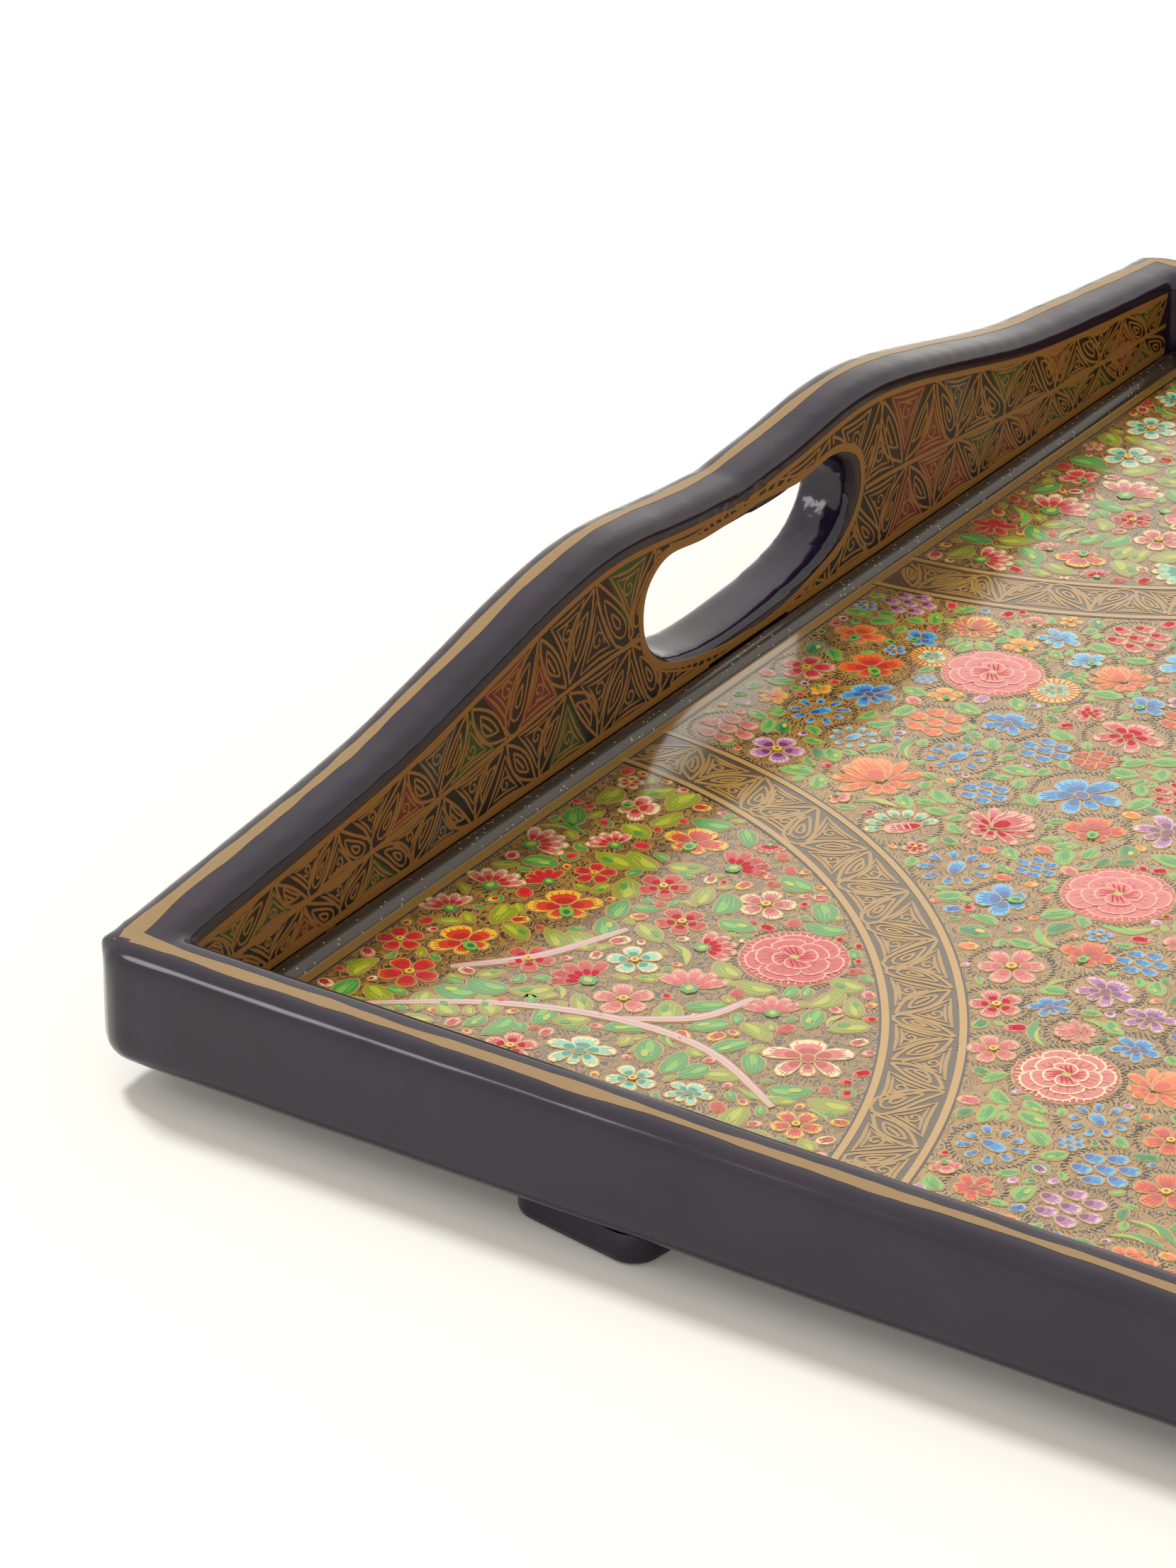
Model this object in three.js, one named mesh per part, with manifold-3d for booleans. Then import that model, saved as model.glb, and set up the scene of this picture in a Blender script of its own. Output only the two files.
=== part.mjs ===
// Hand-painted wooden serving tray: a low rectangular frame with two raised end boards that
// have a hand hole each, a thin base panel let into the underside, corner slips and block feet.
// Millimetres, +Z up. The origin is the centre of the tray's footprint, on the table top.

import * as THREE from 'three';
import { mergeVertices } from 'three/addons/utils/BufferGeometryUtils.js';
import Module from 'manifold-3d';

// Driving dimensions
const TRAY_LENGTH = 480;
const TRAY_WIDTH = 350;
const FOOT_HEIGHT = 6;
const RAIL_HEIGHT = 20.5;
const RAIL_THICKNESS = 11;
const BOARD_THICKNESS = 12;
const CORNER_RADIUS = 7;
const EDGE_RADIUS = 3;
const TOUCH_GAP = 0.3;

// Base panel and the rebate that holds it
const REBATE_WIDTH = 5;
const REBATE_HEIGHT = 3.8;
const PANEL_TOP = 3.5;
const PANEL_THICKNESS = 3.2;

// Slips: the low arched strips that cover the joint between the panel and the walls
const SLIP_WIDTH = 4.8;
const SLIP_HEIGHT = 1.3;

// Feet: their place is the distance of a foot's centre from the tray's outer faces
const FOOT_LENGTH = 27;
const FOOT_DEPTH = 26;
const FOOT_CORNER = 5;
const FOOT_BEVEL = 1.5;
const FOOT_FROM_END = 90;
const FOOT_FROM_SIDE = 16.5;
const FOOT_YAW = THREE.MathUtils.degToRad(-9);

// Fasteners
const FASTENER_LINE = 8.5;
const SCREW = { shank: 1.5, head: 3, headHeight: 2, length: 16 };
const BRAD = { shank: 0.7, head: 1.2, headHeight: 0.5, length: 11 };
const NAIL = { shank: 0.8, head: 1.4, headHeight: 0.6, length: 28 };
const NAIL_HEIGHTS = [6.8, 13.7];
const NAIL_FROM_END = 7;
const ROUND_SEGMENTS = 12;
const RAIL_BRADS = [-195, -65, 65, 195];
const BOARD_BRADS = [-125, -55, 55, 125];
const BOARD_BRAD_LINE = 9.5;

// End board: top edge as [distance from the middle, height above the frame's underside]
const BOARD_TOP = [
  [0, 36.4],
  [18, 37.9],
  [40, 40.1],
  [58, 38.3],
  [80, 33.4],
  [104, 28.1],
  [130, 24.7],
  [152, 22.6],
  [176, RAIL_HEIGHT],
];
// Hand hole: the same pair of numbers all the way round, from the middle of its lower edge.
// It is cut by hand, and reaches a little farther towards the back.
const HAND_HOLE = [
  [0, 8.2],
  [16, 9.1],
  [29.5, 12],
  [35.8, 17],
  [37, 22.6],
  [34.5, 27.3],
  [26.5, 29.7],
  [14, 28.1],
  [0, 28.6],
  [-12, 29.6],
  [-23.5, 31.2],
  [-30, 28.2],
  [-32, 22.5],
  [-30.2, 16],
  [-24, 11.3],
  [-13, 8.9],
];
const HAND_HOLE_MIDDLE = 20;
const TOP_POINTS = 64;
const HOLE_POINTS = 44;
const EDGE_SEGMENTS = 4;
const ARC_SEGMENTS = 6;

// How far a cutting or trimming block runs past the surface that it cuts
const OVERRUN = 1;

const FRAME_BOTTOM = FOOT_HEIGHT;
const FRAME_TOP = FRAME_BOTTOM + RAIL_HEIGHT;
const HALF_LENGTH = TRAY_LENGTH / 2;
const HALF_WIDTH = TRAY_WIDTH / 2;
const INNER_X = HALF_LENGTH - BOARD_THICKNESS;
const INNER_Y = HALF_WIDTH - RAIL_THICKNESS;

const wasm = await Module();
wasm.setup();

const LACQUER = { color: 0x2a2629, roughness: 0.18, metalness: 0 };
const PAINTED = { color: 0x8a6a3a, roughness: 0.2, metalness: 0 };
const STEEL = { color: 0x77756f, roughness: 0.4, metalness: 0.9 };

const tray = new THREE.Group();

// Manifold helpers
function solidOf(geometry) {
  const plain = geometry.clone();
  plain.deleteAttribute('normal');
  plain.deleteAttribute('uv');
  const merged = mergeVertices(plain, 1e-4);
  const vertProperties = new Float32Array(merged.attributes.position.array);
  const triVerts = new Uint32Array(merged.index.array);
  return new wasm.Manifold(new wasm.Mesh({ numProp: 3, vertProperties, triVerts }));
}

function geometryOf(solid) {
  const mesh = solid.getMesh();
  const geometry = new THREE.BufferGeometry();
  geometry.setAttribute('position', new THREE.BufferAttribute(mesh.vertProperties, 3));
  geometry.setIndex(new THREE.BufferAttribute(mesh.triVerts, 1));
  geometry.computeVertexNormals();
  return geometry;
}

function addMesh(name, geometry, finish) {
  const mesh = new THREE.Mesh(geometry, new THREE.MeshStandardMaterial(finish));
  mesh.name = name;
  tray.add(mesh);
}

// Shapes
function box(x0, x1, y0, y1, z0, z1) {
  const geometry = new THREE.BoxGeometry(x1 - x0, y1 - y0, z1 - z0);
  geometry.translate((x0 + x1) / 2, (y0 + y1) / 2, (z0 + z1) / 2);
  return geometry;
}

function roundedRectangle(length, width, radius) {
  const shape = new THREE.Shape();
  const x = length / 2 - radius;
  const y = width / 2 - radius;
  shape.absarc(x, y, radius, 0, Math.PI / 2);
  shape.absarc(-x, y, radius, Math.PI / 2, Math.PI);
  shape.absarc(-x, -y, radius, Math.PI, 1.5 * Math.PI);
  shape.absarc(x, -y, radius, 1.5 * Math.PI, 2 * Math.PI);
  shape.closePath();
  return shape;
}

function rod(radius, z0, z1, x, y) {
  const geometry = new THREE.CylinderGeometry(radius, radius, z1 - z0, ROUND_SEGMENTS);
  geometry.rotateX(Math.PI / 2);
  geometry.translate(x, y, (z0 + z1) / 2);
  return geometry;
}

// A fastener's shape, head at the bottom, with a growth all round for the hole that takes it
function fastenerProfile(kind, growth, countersunk) {
  const neck = kind.headHeight + growth;
  const shoulder = countersunk ? 0 : neck;
  const points = [
    [0, -growth * 2],
    [kind.head + growth, -growth * 2],
    [kind.head + growth, shoulder],
    [kind.shank + growth, neck],
    [kind.shank + growth, kind.length + growth],
    [0, kind.length + growth],
  ];
  return points.map(([radius, height]) => new THREE.Vector2(radius, height));
}

function fastener(kind, growth, countersunk) {
  const geometry = new THREE.LatheGeometry(fastenerProfile(kind, growth, countersunk), ROUND_SEGMENTS);
  geometry.rotateX(Math.PI / 2);
  return geometry;
}

// Places of every fastener: position of the head's face and the way the shank points
const fasteners = [];

function placeFastener(name, kind, position, yaw, countersunk) {
  fasteners.push({ name, kind, position, yaw, countersunk });
}

function fastenerSolid({ kind, position, yaw, countersunk }, growth) {
  const geometry = fastener(kind, growth, countersunk);
  if (yaw !== null) {
    geometry.rotateX(-Math.PI / 2);
    geometry.rotateZ(yaw);
  }
  geometry.translate(...position);
  return geometry;
}

const SIDES = [
  { name: 'front', sign: -1 },
  { name: 'back', sign: 1 },
];
const ENDS = [
  { name: 'left', sign: -1 },
  { name: 'right', sign: 1 },
];

for (const side of SIDES) {
  for (const end of ENDS) {
    const corner = `${side.name}_${end.name}`;
    NAIL_HEIGHTS.forEach((height, index) => {
      const x = end.sign * (HALF_LENGTH - NAIL_FROM_END);
      const y = side.sign * (HALF_WIDTH - TOUCH_GAP);
      const yaw = side.sign < 0 ? 0 : Math.PI;
      const position = [x, y, FRAME_BOTTOM + height];
      placeFastener(`corner_nail_${corner}_${index + 1}`, NAIL, position, yaw, false);
    });
    const x = end.sign * (HALF_LENGTH - FOOT_FROM_END);
    const y = side.sign * (HALF_WIDTH - FASTENER_LINE);
    placeFastener(`foot_screw_${corner}`, SCREW, [x, y, TOUCH_GAP * 2], null, true);
  }
}
const BRAD_Z = FRAME_BOTTOM + PANEL_TOP - PANEL_THICKNESS + TOUCH_GAP;
for (const side of SIDES) {
  RAIL_BRADS.forEach((x, index) => {
    const y = side.sign * (HALF_WIDTH - FASTENER_LINE);
    placeFastener(`panel_brad_${side.name}_${index + 1}`, BRAD, [x, y, BRAD_Z], null, false);
  });
}
for (const end of ENDS) {
  BOARD_BRADS.forEach((y, index) => {
    const x = end.sign * (HALF_LENGTH - BOARD_BRAD_LINE);
    placeFastener(`panel_brad_${end.name}_${index + 1}`, BRAD, [x, y, BRAD_Z], null, false);
  });
}

// Cuts every fastener's clearance hole that reaches the solid
function drill(solid) {
  let result = solid;
  for (const item of fasteners) {
    result = result.subtract(solidOf(fastenerSolid(item, TOUCH_GAP)));
  }
  return result;
}

// The outside of the low frame, with round corners and edges
function frameEnvelope() {
  const shape = roundedRectangle(
    TRAY_LENGTH - 2 * EDGE_RADIUS,
    TRAY_WIDTH - 2 * EDGE_RADIUS,
    CORNER_RADIUS - EDGE_RADIUS,
  );
  const geometry = new THREE.ExtrudeGeometry(shape, {
    depth: RAIL_HEIGHT - 2 * EDGE_RADIUS,
    bevelEnabled: true,
    bevelThickness: EDGE_RADIUS,
    bevelSize: EDGE_RADIUS,
    bevelSegments: EDGE_SEGMENTS,
    curveSegments: ARC_SEGMENTS,
  });
  geometry.translate(0, 0, FRAME_BOTTOM + EDGE_RADIUS);
  return geometry;
}

// Removes the sharp inner top edge of a rail, between the two end boards
function innerEdgeCutter(sign) {
  const shape = new THREE.Shape();
  shape.moveTo(0, -EDGE_RADIUS);
  shape.absarc(-EDGE_RADIUS, -EDGE_RADIUS, EDGE_RADIUS, 0, Math.PI / 2);
  shape.lineTo(-EDGE_RADIUS, OVERRUN);
  shape.lineTo(OVERRUN, OVERRUN);
  shape.lineTo(OVERRUN, -EDGE_RADIUS);
  const length = 2 * INNER_X - 2 * TOUCH_GAP;
  const geometry = new THREE.ExtrudeGeometry(shape, {
    depth: length,
    bevelEnabled: false,
    curveSegments: ARC_SEGMENTS,
  });
  geometry.translate(0, 0, -length / 2);
  geometry.applyMatrix4(new THREE.Matrix4().makeBasis(
    new THREE.Vector3(0, 1, 0),
    new THREE.Vector3(0, 0, 1),
    new THREE.Vector3(1, 0, 0),
  ));
  geometry.translate(0, -INNER_Y, FRAME_TOP);
  if (sign > 0) {
    geometry.rotateZ(Math.PI);
  }
  return geometry;
}

function rebateCutter() {
  const x = INNER_X + REBATE_WIDTH;
  const y = INNER_Y + REBATE_WIDTH;
  return box(-x, x, -y, y, FRAME_BOTTOM - OVERRUN, FRAME_BOTTOM + REBATE_HEIGHT);
}

function rail(sign) {
  const outer = sign * (HALF_WIDTH + OVERRUN);
  const near = Math.min(sign * INNER_Y, outer);
  const far = Math.max(sign * INNER_Y, outer);
  const x = HALF_LENGTH + OVERRUN;
  const slab = box(-x, x, near, far, FRAME_BOTTOM - OVERRUN, FRAME_TOP + OVERRUN);
  let solid = solidOf(frameEnvelope()).intersect(solidOf(slab));
  solid = solid.subtract(solidOf(innerEdgeCutter(sign)));
  solid = solid.subtract(solidOf(rebateCutter()));
  return drill(solid);
}

// A smooth closed path through a half outline and its mirror image
function mirroredPoints(half) {
  const mirrored = half.slice(1).reverse().map(([along, height]) => [-along, height]);
  return [...mirrored, ...half].map(([along, height]) => new THREE.Vector2(along, height));
}

function boardShape() {
  const top = new THREE.SplineCurve(mirroredPoints(BOARD_TOP)).getPoints(TOP_POINTS);
  const inset = top.map((point) => new THREE.Vector2(point.x, point.y - EDGE_RADIUS));
  const end = HALF_WIDTH + OVERRUN;
  const shape = new THREE.Shape();
  shape.moveTo(end, EDGE_RADIUS);
  inset.reverse().forEach((point) => shape.lineTo(point.x, point.y));
  shape.lineTo(-end, EDGE_RADIUS);
  shape.closePath();
  const middle = new THREE.Vector2(0, HAND_HOLE_MIDDLE);
  const grown = HAND_HOLE.map(([x, z]) => {
    const point = new THREE.Vector2(x, z);
    const outward = point.clone().sub(middle).normalize();
    return point.addScaledVector(outward, EDGE_RADIUS);
  });
  const hole = new THREE.CatmullRomCurve3(
    grown.map((point) => new THREE.Vector3(point.x, point.y, 0)),
    true,
  ).getPoints(HOLE_POINTS);
  const path = new THREE.Path();
  path.setFromPoints(hole.slice(0, -1).map((point) => new THREE.Vector2(point.x, point.y)));
  path.closePath();
  shape.holes.push(path);
  return shape;
}

function endBoard(sign) {
  const geometry = new THREE.ExtrudeGeometry(boardShape(), {
    depth: BOARD_THICKNESS - 2 * EDGE_RADIUS,
    bevelEnabled: true,
    bevelThickness: EDGE_RADIUS,
    bevelSize: EDGE_RADIUS,
    bevelSegments: EDGE_SEGMENTS,
  });
  geometry.translate(0, 0, EDGE_RADIUS);
  geometry.applyMatrix4(new THREE.Matrix4().makeBasis(
    new THREE.Vector3(0, 1, 0),
    new THREE.Vector3(0, 0, 1),
    new THREE.Vector3(1, 0, 0),
  ));
  geometry.translate(-HALF_LENGTH, 0, FRAME_BOTTOM);
  if (sign > 0) {
    geometry.rotateZ(Math.PI);
  }
  const x = HALF_LENGTH + OVERRUN;
  const y = INNER_Y - TOUCH_GAP;
  const ends = box(-x, x, -y, y, 0, FRAME_BOTTOM + 2 * BOARD_TOP[0][1]);
  let solid = solidOf(geometry).intersect(solidOf(ends));
  solid = solid.subtract(solidOf(rebateCutter()));
  return drill(solid);
}

function basePanel() {
  const x = INNER_X + REBATE_WIDTH - TOUCH_GAP;
  const y = INNER_Y + REBATE_WIDTH - TOUCH_GAP;
  const top = FRAME_BOTTOM + PANEL_TOP;
  return drill(solidOf(box(-x, x, -y, y, top - PANEL_THICKNESS, top)));
}

// A slip has a low arched section and mitred ends
function slip(length, angle, distance) {
  const shape = new THREE.Shape();
  shape.moveTo(0, 0);
  shape.lineTo(SLIP_WIDTH, 0);
  shape.absellipse(SLIP_WIDTH / 2, 0, SLIP_WIDTH / 2, SLIP_HEIGHT, 0, Math.PI);
  const geometry = new THREE.ExtrudeGeometry(shape, {
    depth: length,
    bevelEnabled: false,
    curveSegments: ARC_SEGMENTS + 2,
    steps: 1,
  });
  geometry.translate(0, 0, -length / 2);
  const position = geometry.attributes.position;
  for (let index = 0; index < position.count; index += 1) {
    const along = position.getZ(index);
    position.setZ(index, along - Math.sign(along) * (position.getX(index) + TOUCH_GAP));
  }
  geometry.applyMatrix4(new THREE.Matrix4().makeBasis(
    new THREE.Vector3(0, 1, 0),
    new THREE.Vector3(0, 0, 1),
    new THREE.Vector3(1, 0, 0),
  ));
  geometry.translate(0, TOUCH_GAP - distance, FRAME_BOTTOM + PANEL_TOP + TOUCH_GAP);
  geometry.rotateZ(angle);
  return geometry;
}

function foot(side, end) {
  const shape = roundedRectangle(
    FOOT_LENGTH - 2 * FOOT_BEVEL,
    FOOT_DEPTH - 2 * FOOT_BEVEL,
    FOOT_CORNER - FOOT_BEVEL,
  );
  const geometry = new THREE.ExtrudeGeometry(shape, {
    depth: FOOT_HEIGHT,
    bevelEnabled: true,
    bevelThickness: FOOT_BEVEL,
    bevelSize: FOOT_BEVEL,
    bevelSegments: 3,
    curveSegments: ARC_SEGMENTS,
  });
  geometry.translate(0, 0, FOOT_BEVEL);
  geometry.rotateZ(FOOT_YAW * side.sign * end.sign);
  const x = end.sign * (HALF_LENGTH - FOOT_FROM_END);
  const y = side.sign * (HALF_WIDTH - FOOT_FROM_SIDE);
  geometry.translate(x, y, 0);
  const below = box(
    x - FOOT_LENGTH,
    x + FOOT_LENGTH,
    y - FOOT_LENGTH,
    y + FOOT_LENGTH,
    -OVERRUN,
    FOOT_HEIGHT - TOUCH_GAP,
  );
  return drill(solidOf(geometry).intersect(solidOf(below)));
}

// Assembly
addMesh('base_panel', geometryOf(basePanel()), PAINTED);
for (const side of SIDES) {
  addMesh(`${side.name}_rail`, geometryOf(rail(side.sign)), LACQUER);
}
for (const end of ENDS) {
  addMesh(`${end.name}_end_board`, geometryOf(endBoard(end.sign)), LACQUER);
}
addMesh('front_slip', slip(2 * INNER_X, 0, INNER_Y), LACQUER);
addMesh('back_slip', slip(2 * INNER_X, Math.PI, INNER_Y), LACQUER);
addMesh('left_slip', slip(2 * INNER_Y, -Math.PI / 2, INNER_X), LACQUER);
addMesh('right_slip', slip(2 * INNER_Y, Math.PI / 2, INNER_X), LACQUER);
for (const side of SIDES) {
  for (const end of ENDS) {
    addMesh(`foot_${side.name}_${end.name}`, geometryOf(foot(side, end)), LACQUER);
  }
}
for (const item of fasteners) {
  addMesh(item.name, fastenerSolid(item, 0), STEEL);
}

export default tray;
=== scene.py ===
import math
import random

import bmesh
import bpy
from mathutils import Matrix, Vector, noise
from mathutils.bvhtree import BVHTree
from mathutils.geometry import tessellate_polygon


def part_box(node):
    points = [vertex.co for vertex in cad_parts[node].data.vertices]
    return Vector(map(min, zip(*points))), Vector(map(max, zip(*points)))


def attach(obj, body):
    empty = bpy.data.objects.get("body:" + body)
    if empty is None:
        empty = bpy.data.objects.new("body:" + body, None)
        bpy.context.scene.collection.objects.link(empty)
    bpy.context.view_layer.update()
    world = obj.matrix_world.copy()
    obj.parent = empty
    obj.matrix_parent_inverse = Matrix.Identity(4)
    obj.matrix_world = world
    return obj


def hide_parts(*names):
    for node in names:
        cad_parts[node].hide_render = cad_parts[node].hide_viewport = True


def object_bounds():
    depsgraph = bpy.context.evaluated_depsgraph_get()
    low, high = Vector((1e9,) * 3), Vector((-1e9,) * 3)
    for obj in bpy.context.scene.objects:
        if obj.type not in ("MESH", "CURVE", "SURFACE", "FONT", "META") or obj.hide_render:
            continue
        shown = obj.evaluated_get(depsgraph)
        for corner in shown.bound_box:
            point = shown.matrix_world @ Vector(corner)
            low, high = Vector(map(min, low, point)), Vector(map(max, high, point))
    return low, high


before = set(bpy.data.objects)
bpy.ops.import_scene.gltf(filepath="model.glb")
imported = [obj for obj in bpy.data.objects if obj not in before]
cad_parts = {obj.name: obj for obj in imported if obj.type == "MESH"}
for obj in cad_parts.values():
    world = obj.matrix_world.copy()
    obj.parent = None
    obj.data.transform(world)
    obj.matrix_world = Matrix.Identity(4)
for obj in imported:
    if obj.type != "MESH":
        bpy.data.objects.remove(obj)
cad_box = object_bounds()

# Shapes are worked out in millimetres and scaled to metres when a mesh is made.
# The materials, the floor and the lamps are in metres.
MM = 0.001

# Sizes that the CAD fixes
HALF_LENGTH = cad_box[1][0] / MM
HALF_WIDTH = cad_box[1][1] / MM
PANEL_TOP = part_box("base_panel")[1].z / MM
FRAME_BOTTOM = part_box("front_rail")[0].z / MM
RAIL_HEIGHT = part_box("front_rail")[1].z / MM - FRAME_BOTTOM
INNER_Y = -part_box("front_rail")[1].y / MM
BOARD_THICKNESS = 12.0
INNER_X = HALF_LENGTH - BOARD_THICKNESS
CORNER_RADIUS = 7.0
SLIP_WIDTH = 4.8
SLIP_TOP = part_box("left_slip")[1].z / MM

# End board: [distance from the middle, height above the frame's underside]
BOARD_TOP = [
    (0, 36.4), (18, 37.9), (40, 40.1), (58, 38.3), (80, 33.4),
    (104, 28.1), (130, 24.7), (152, 22.4), (169, 20.6), (172, 20.5),
]
# Hand hole: [distance towards the back, height], all the way round
HAND_HOLE = [
    (0, 8.2), (16, 9.1), (29.5, 12), (35.8, 17), (37, 22.6), (34.5, 27.3), (26.5, 29.7), (14, 28.1),
    (0, 28.6), (-12, 29.6), (-23.5, 31.2), (-30, 28.2), (-32, 22.5), (-30.2, 16), (-24, 11.3), (-13, 8.9),
]
HOLE_MIDDLE = 20.0
HOLE_STEPS = 6
# The signs of a rectangle's corners, anticlockwise
SQUARE = ((-1, -1), (1, -1), (1, 1), (-1, 1))


# ---------------------------------------------------------------- materials
class Recipe:
    """A material's nodes. Every pattern follows the object's own coordinates."""

    def __init__(self, name):
        self.material = bpy.data.materials.new(name)
        self.material.use_nodes = True
        self.tree = self.material.node_tree
        self.shader = self.tree.nodes["Principled BSDF"]
        self.coordinates = self.add("TexCoord").outputs["Object"]

    def fill(self, node, values):
        """Gives each input a value or another node's output."""
        for key, value in values.items():
            if isinstance(value, bpy.types.NodeSocket):
                self.tree.links.new(value, node.inputs[key])
            else:
                node.inputs[key].default_value = value

    def add(self, kind, values=None, **settings):
        node = self.tree.nodes.new("ShaderNode" + kind)
        for key, value in settings.items():
            setattr(node, key, value)
        self.fill(node, values or {})
        return node

    def look(self, **values):
        """Sets the shader: base_color=... is its input called Base Color."""
        names = {key: key.replace("_", " ").title().replace("Ior", "IOR") for key in values}
        self.fill(self.shader, {names[key]: value for key, value in values.items()})

    def noise(self, scale, detail):
        values = {"Vector": self.coordinates, "Scale": scale, "Detail": detail}
        return self.add("TexNoise", values).outputs["Fac"]

    def math(self, operation, *values):
        return self.add("Math", dict(enumerate(values)), operation=operation).outputs["Value"]

    def step(self, value, low, high):
        """Nothing below low, one above high, and a ramp between them."""
        values = {"Value": value, "From Min": low, "From Max": high}
        return self.add("MapRange", values).outputs["Result"]

    def ramp(self, factor, low, high, start=0.0, end=1.0):
        node = self.add("ValToRGB", {"Fac": factor})
        for number, (place, colour) in enumerate(((start, low), (end, high))):
            node.color_ramp.elements[number].position = place
            node.color_ramp.elements[number].color = (*colour, 1)
        return node.outputs["Color"]

    def mix(self, factor, colour, other):
        values = {"Fac": factor, "Color1": colour, "Color2": (*other, 1)}
        return self.add("MixRGB", values).outputs["Color"]

    def bump(self, pattern, height, normal=None):
        values = {"Height": pattern, "Distance": height}
        if normal:
            values["Normal"] = normal
        return self.add("Bump", values).outputs["Normal"]

    def ripples(self, layers):
        """Bumps one on another: each layer is (scale per metre, height in metres, detail)."""
        normal = None
        for scale, height, detail in layers:
            normal = self.bump(self.noise(scale, detail), height, normal)
        self.look(normal=normal, coat_normal=normal)
        return normal


# The panel's paints are weighed against one another; this sets them all against the studio's light.
PAINT_SHADE = 0.64
PANEL_RIPPLES = [(38, 0.00016, 0.0)]
LACQUER_RIPPLES = [(70, 0.00022, 1.0), (700, 0.000006, 2.0)]
LACQUER_TONES = ((0.0070, 0.0034, 0.0125), (0.0120, 0.0064, 0.0185))
# The slip's tones are lighter than the frame's lacquer: partly the slip's own duller grey, partly a painted
# sheen. The pale specks are painted glints.
SLIP_TONES_AND_SHEEN = ((0.026, 0.018, 0.012), (0.040, 0.030, 0.022))
GLINT_SPECK_COLOUR = (0.30, 0.28, 0.24)
GOLD_TONES = ((0.32, 0.168, 0.026), (0.43, 0.238, 0.044))
SQUIGGLE_COLOUR = (0.030, 0.014, 0.008)
# The hand holes' insides are brushed thickly: stronger ripples where the board is cut through.
HOLE_ZONE_LOW = (0.2255, -0.0375, 0.0178)
HOLE_ZONE_HIGH = (0.2420, 0.0375, 0.0405)
HOLE_RIPPLES = (150, 0.0009, 2.0)


def clear_coat(recipe):
    """Thick clear lacquer over the paint."""
    recipe.look(roughness=0.16, ior=1.65, coat_weight=1.0, coat_roughness=0.128, coat_ior=1.65)


def paint_material(name, colour):
    """Paint with the lacquer's shine and faint ripples; on the walls and the rim the coat is thin."""
    recipe = Recipe(name)
    if "wall" in name or "rim" in name:
        recipe.look(base_color=(*colour, 1), roughness=0.3, ior=1.3)
    else:
        recipe.look(base_color=(*(v * PAINT_SHADE for v in colour), 1))
        clear_coat(recipe)
    recipe.ripples(PANEL_RIPPLES)
    return recipe.material


def hole_zone(recipe):
    """One inside the hand holes' zone on either end board, nothing elsewhere."""
    parts = recipe.add("SeparateXYZ", {"Vector": recipe.coordinates}).outputs
    mask = None
    for axis, low, high in zip("XYZ", HOLE_ZONE_LOW, HOLE_ZONE_HIGH):
        place = recipe.math("ABSOLUTE", parts[axis]) if axis == "X" else parts[axis]
        within = recipe.math("COMPARE", place, (low + high) / 2, (high - low) / 2)
        mask = recipe.math("MULTIPLY", mask, within) if mask else within
    return mask


def black_lacquer(name):
    recipe = Recipe(name)
    colour = recipe.ramp(recipe.noise(60, 5), *LACQUER_TONES, 0.35, 0.7)
    recipe.look(base_color=colour, roughness=0.13, ior=1.5)
    scale, height, detail = HOLE_RIPPLES
    streaks = recipe.math("MULTIPLY", recipe.noise(scale, detail), hole_zone(recipe))
    recipe.look(normal=recipe.bump(streaks, height, recipe.ripples(LACQUER_RIPPLES)))
    return recipe.material


def glint_speckled_lacquer(name):
    """Duller lacquer, lighter than the frame's partly in its own tone and partly as a painted sheen, with
    fine pale specks that are painted glints.
    """
    recipe = Recipe(name)
    colour = recipe.ramp(recipe.noise(60, 5), *SLIP_TONES_AND_SHEEN, 0.35, 0.7)
    cells = recipe.add("TexVoronoi", {"Vector": recipe.coordinates, "Scale": 760}).outputs["Distance"]
    # Pale specks scattered over the slip: painted glints.
    colour = recipe.mix(recipe.math("LESS_THAN", cells, 0.15), colour, GLINT_SPECK_COLOUR)
    recipe.look(base_color=colour, roughness=0.24, ior=1.6)
    recipe.ripples(LACQUER_RIPPLES)
    return recipe.material


def hatched_gold(name, threshold, strength):
    """The gold ground with fine black squiggles drawn all over it."""
    recipe = Recipe(name)
    tones = [[v * strength for v in tone] for tone in GOLD_TONES]
    gold = recipe.ramp(recipe.noise(35, 6), *tones, 0.3, 0.7)
    wave = recipe.add("TexWave", {
        "Vector": recipe.coordinates, "Scale": 400, "Distortion": 26, "Detail": 1.2, "Detail Scale": 0.9,
    })
    lines = recipe.step(wave.outputs["Fac"], threshold, threshold + 0.12)
    gaps = recipe.step(recipe.noise(900, 1.5), 0.40, 0.47)
    recipe.look(base_color=recipe.mix(recipe.math("MULTIPLY", lines, gaps), gold, SQUIGGLE_COLOUR))
    clear_coat(recipe)
    recipe.ripples(PANEL_RIPPLES)
    return recipe.material


def worn_steel(name):
    recipe = Recipe(name)
    colour = recipe.ramp(recipe.noise(900, 4), (0.22, 0.20, 0.18), (0.50, 0.49, 0.47))
    recipe.look(base_color=colour, metallic=0.9, roughness=0.38)
    return recipe.material


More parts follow.
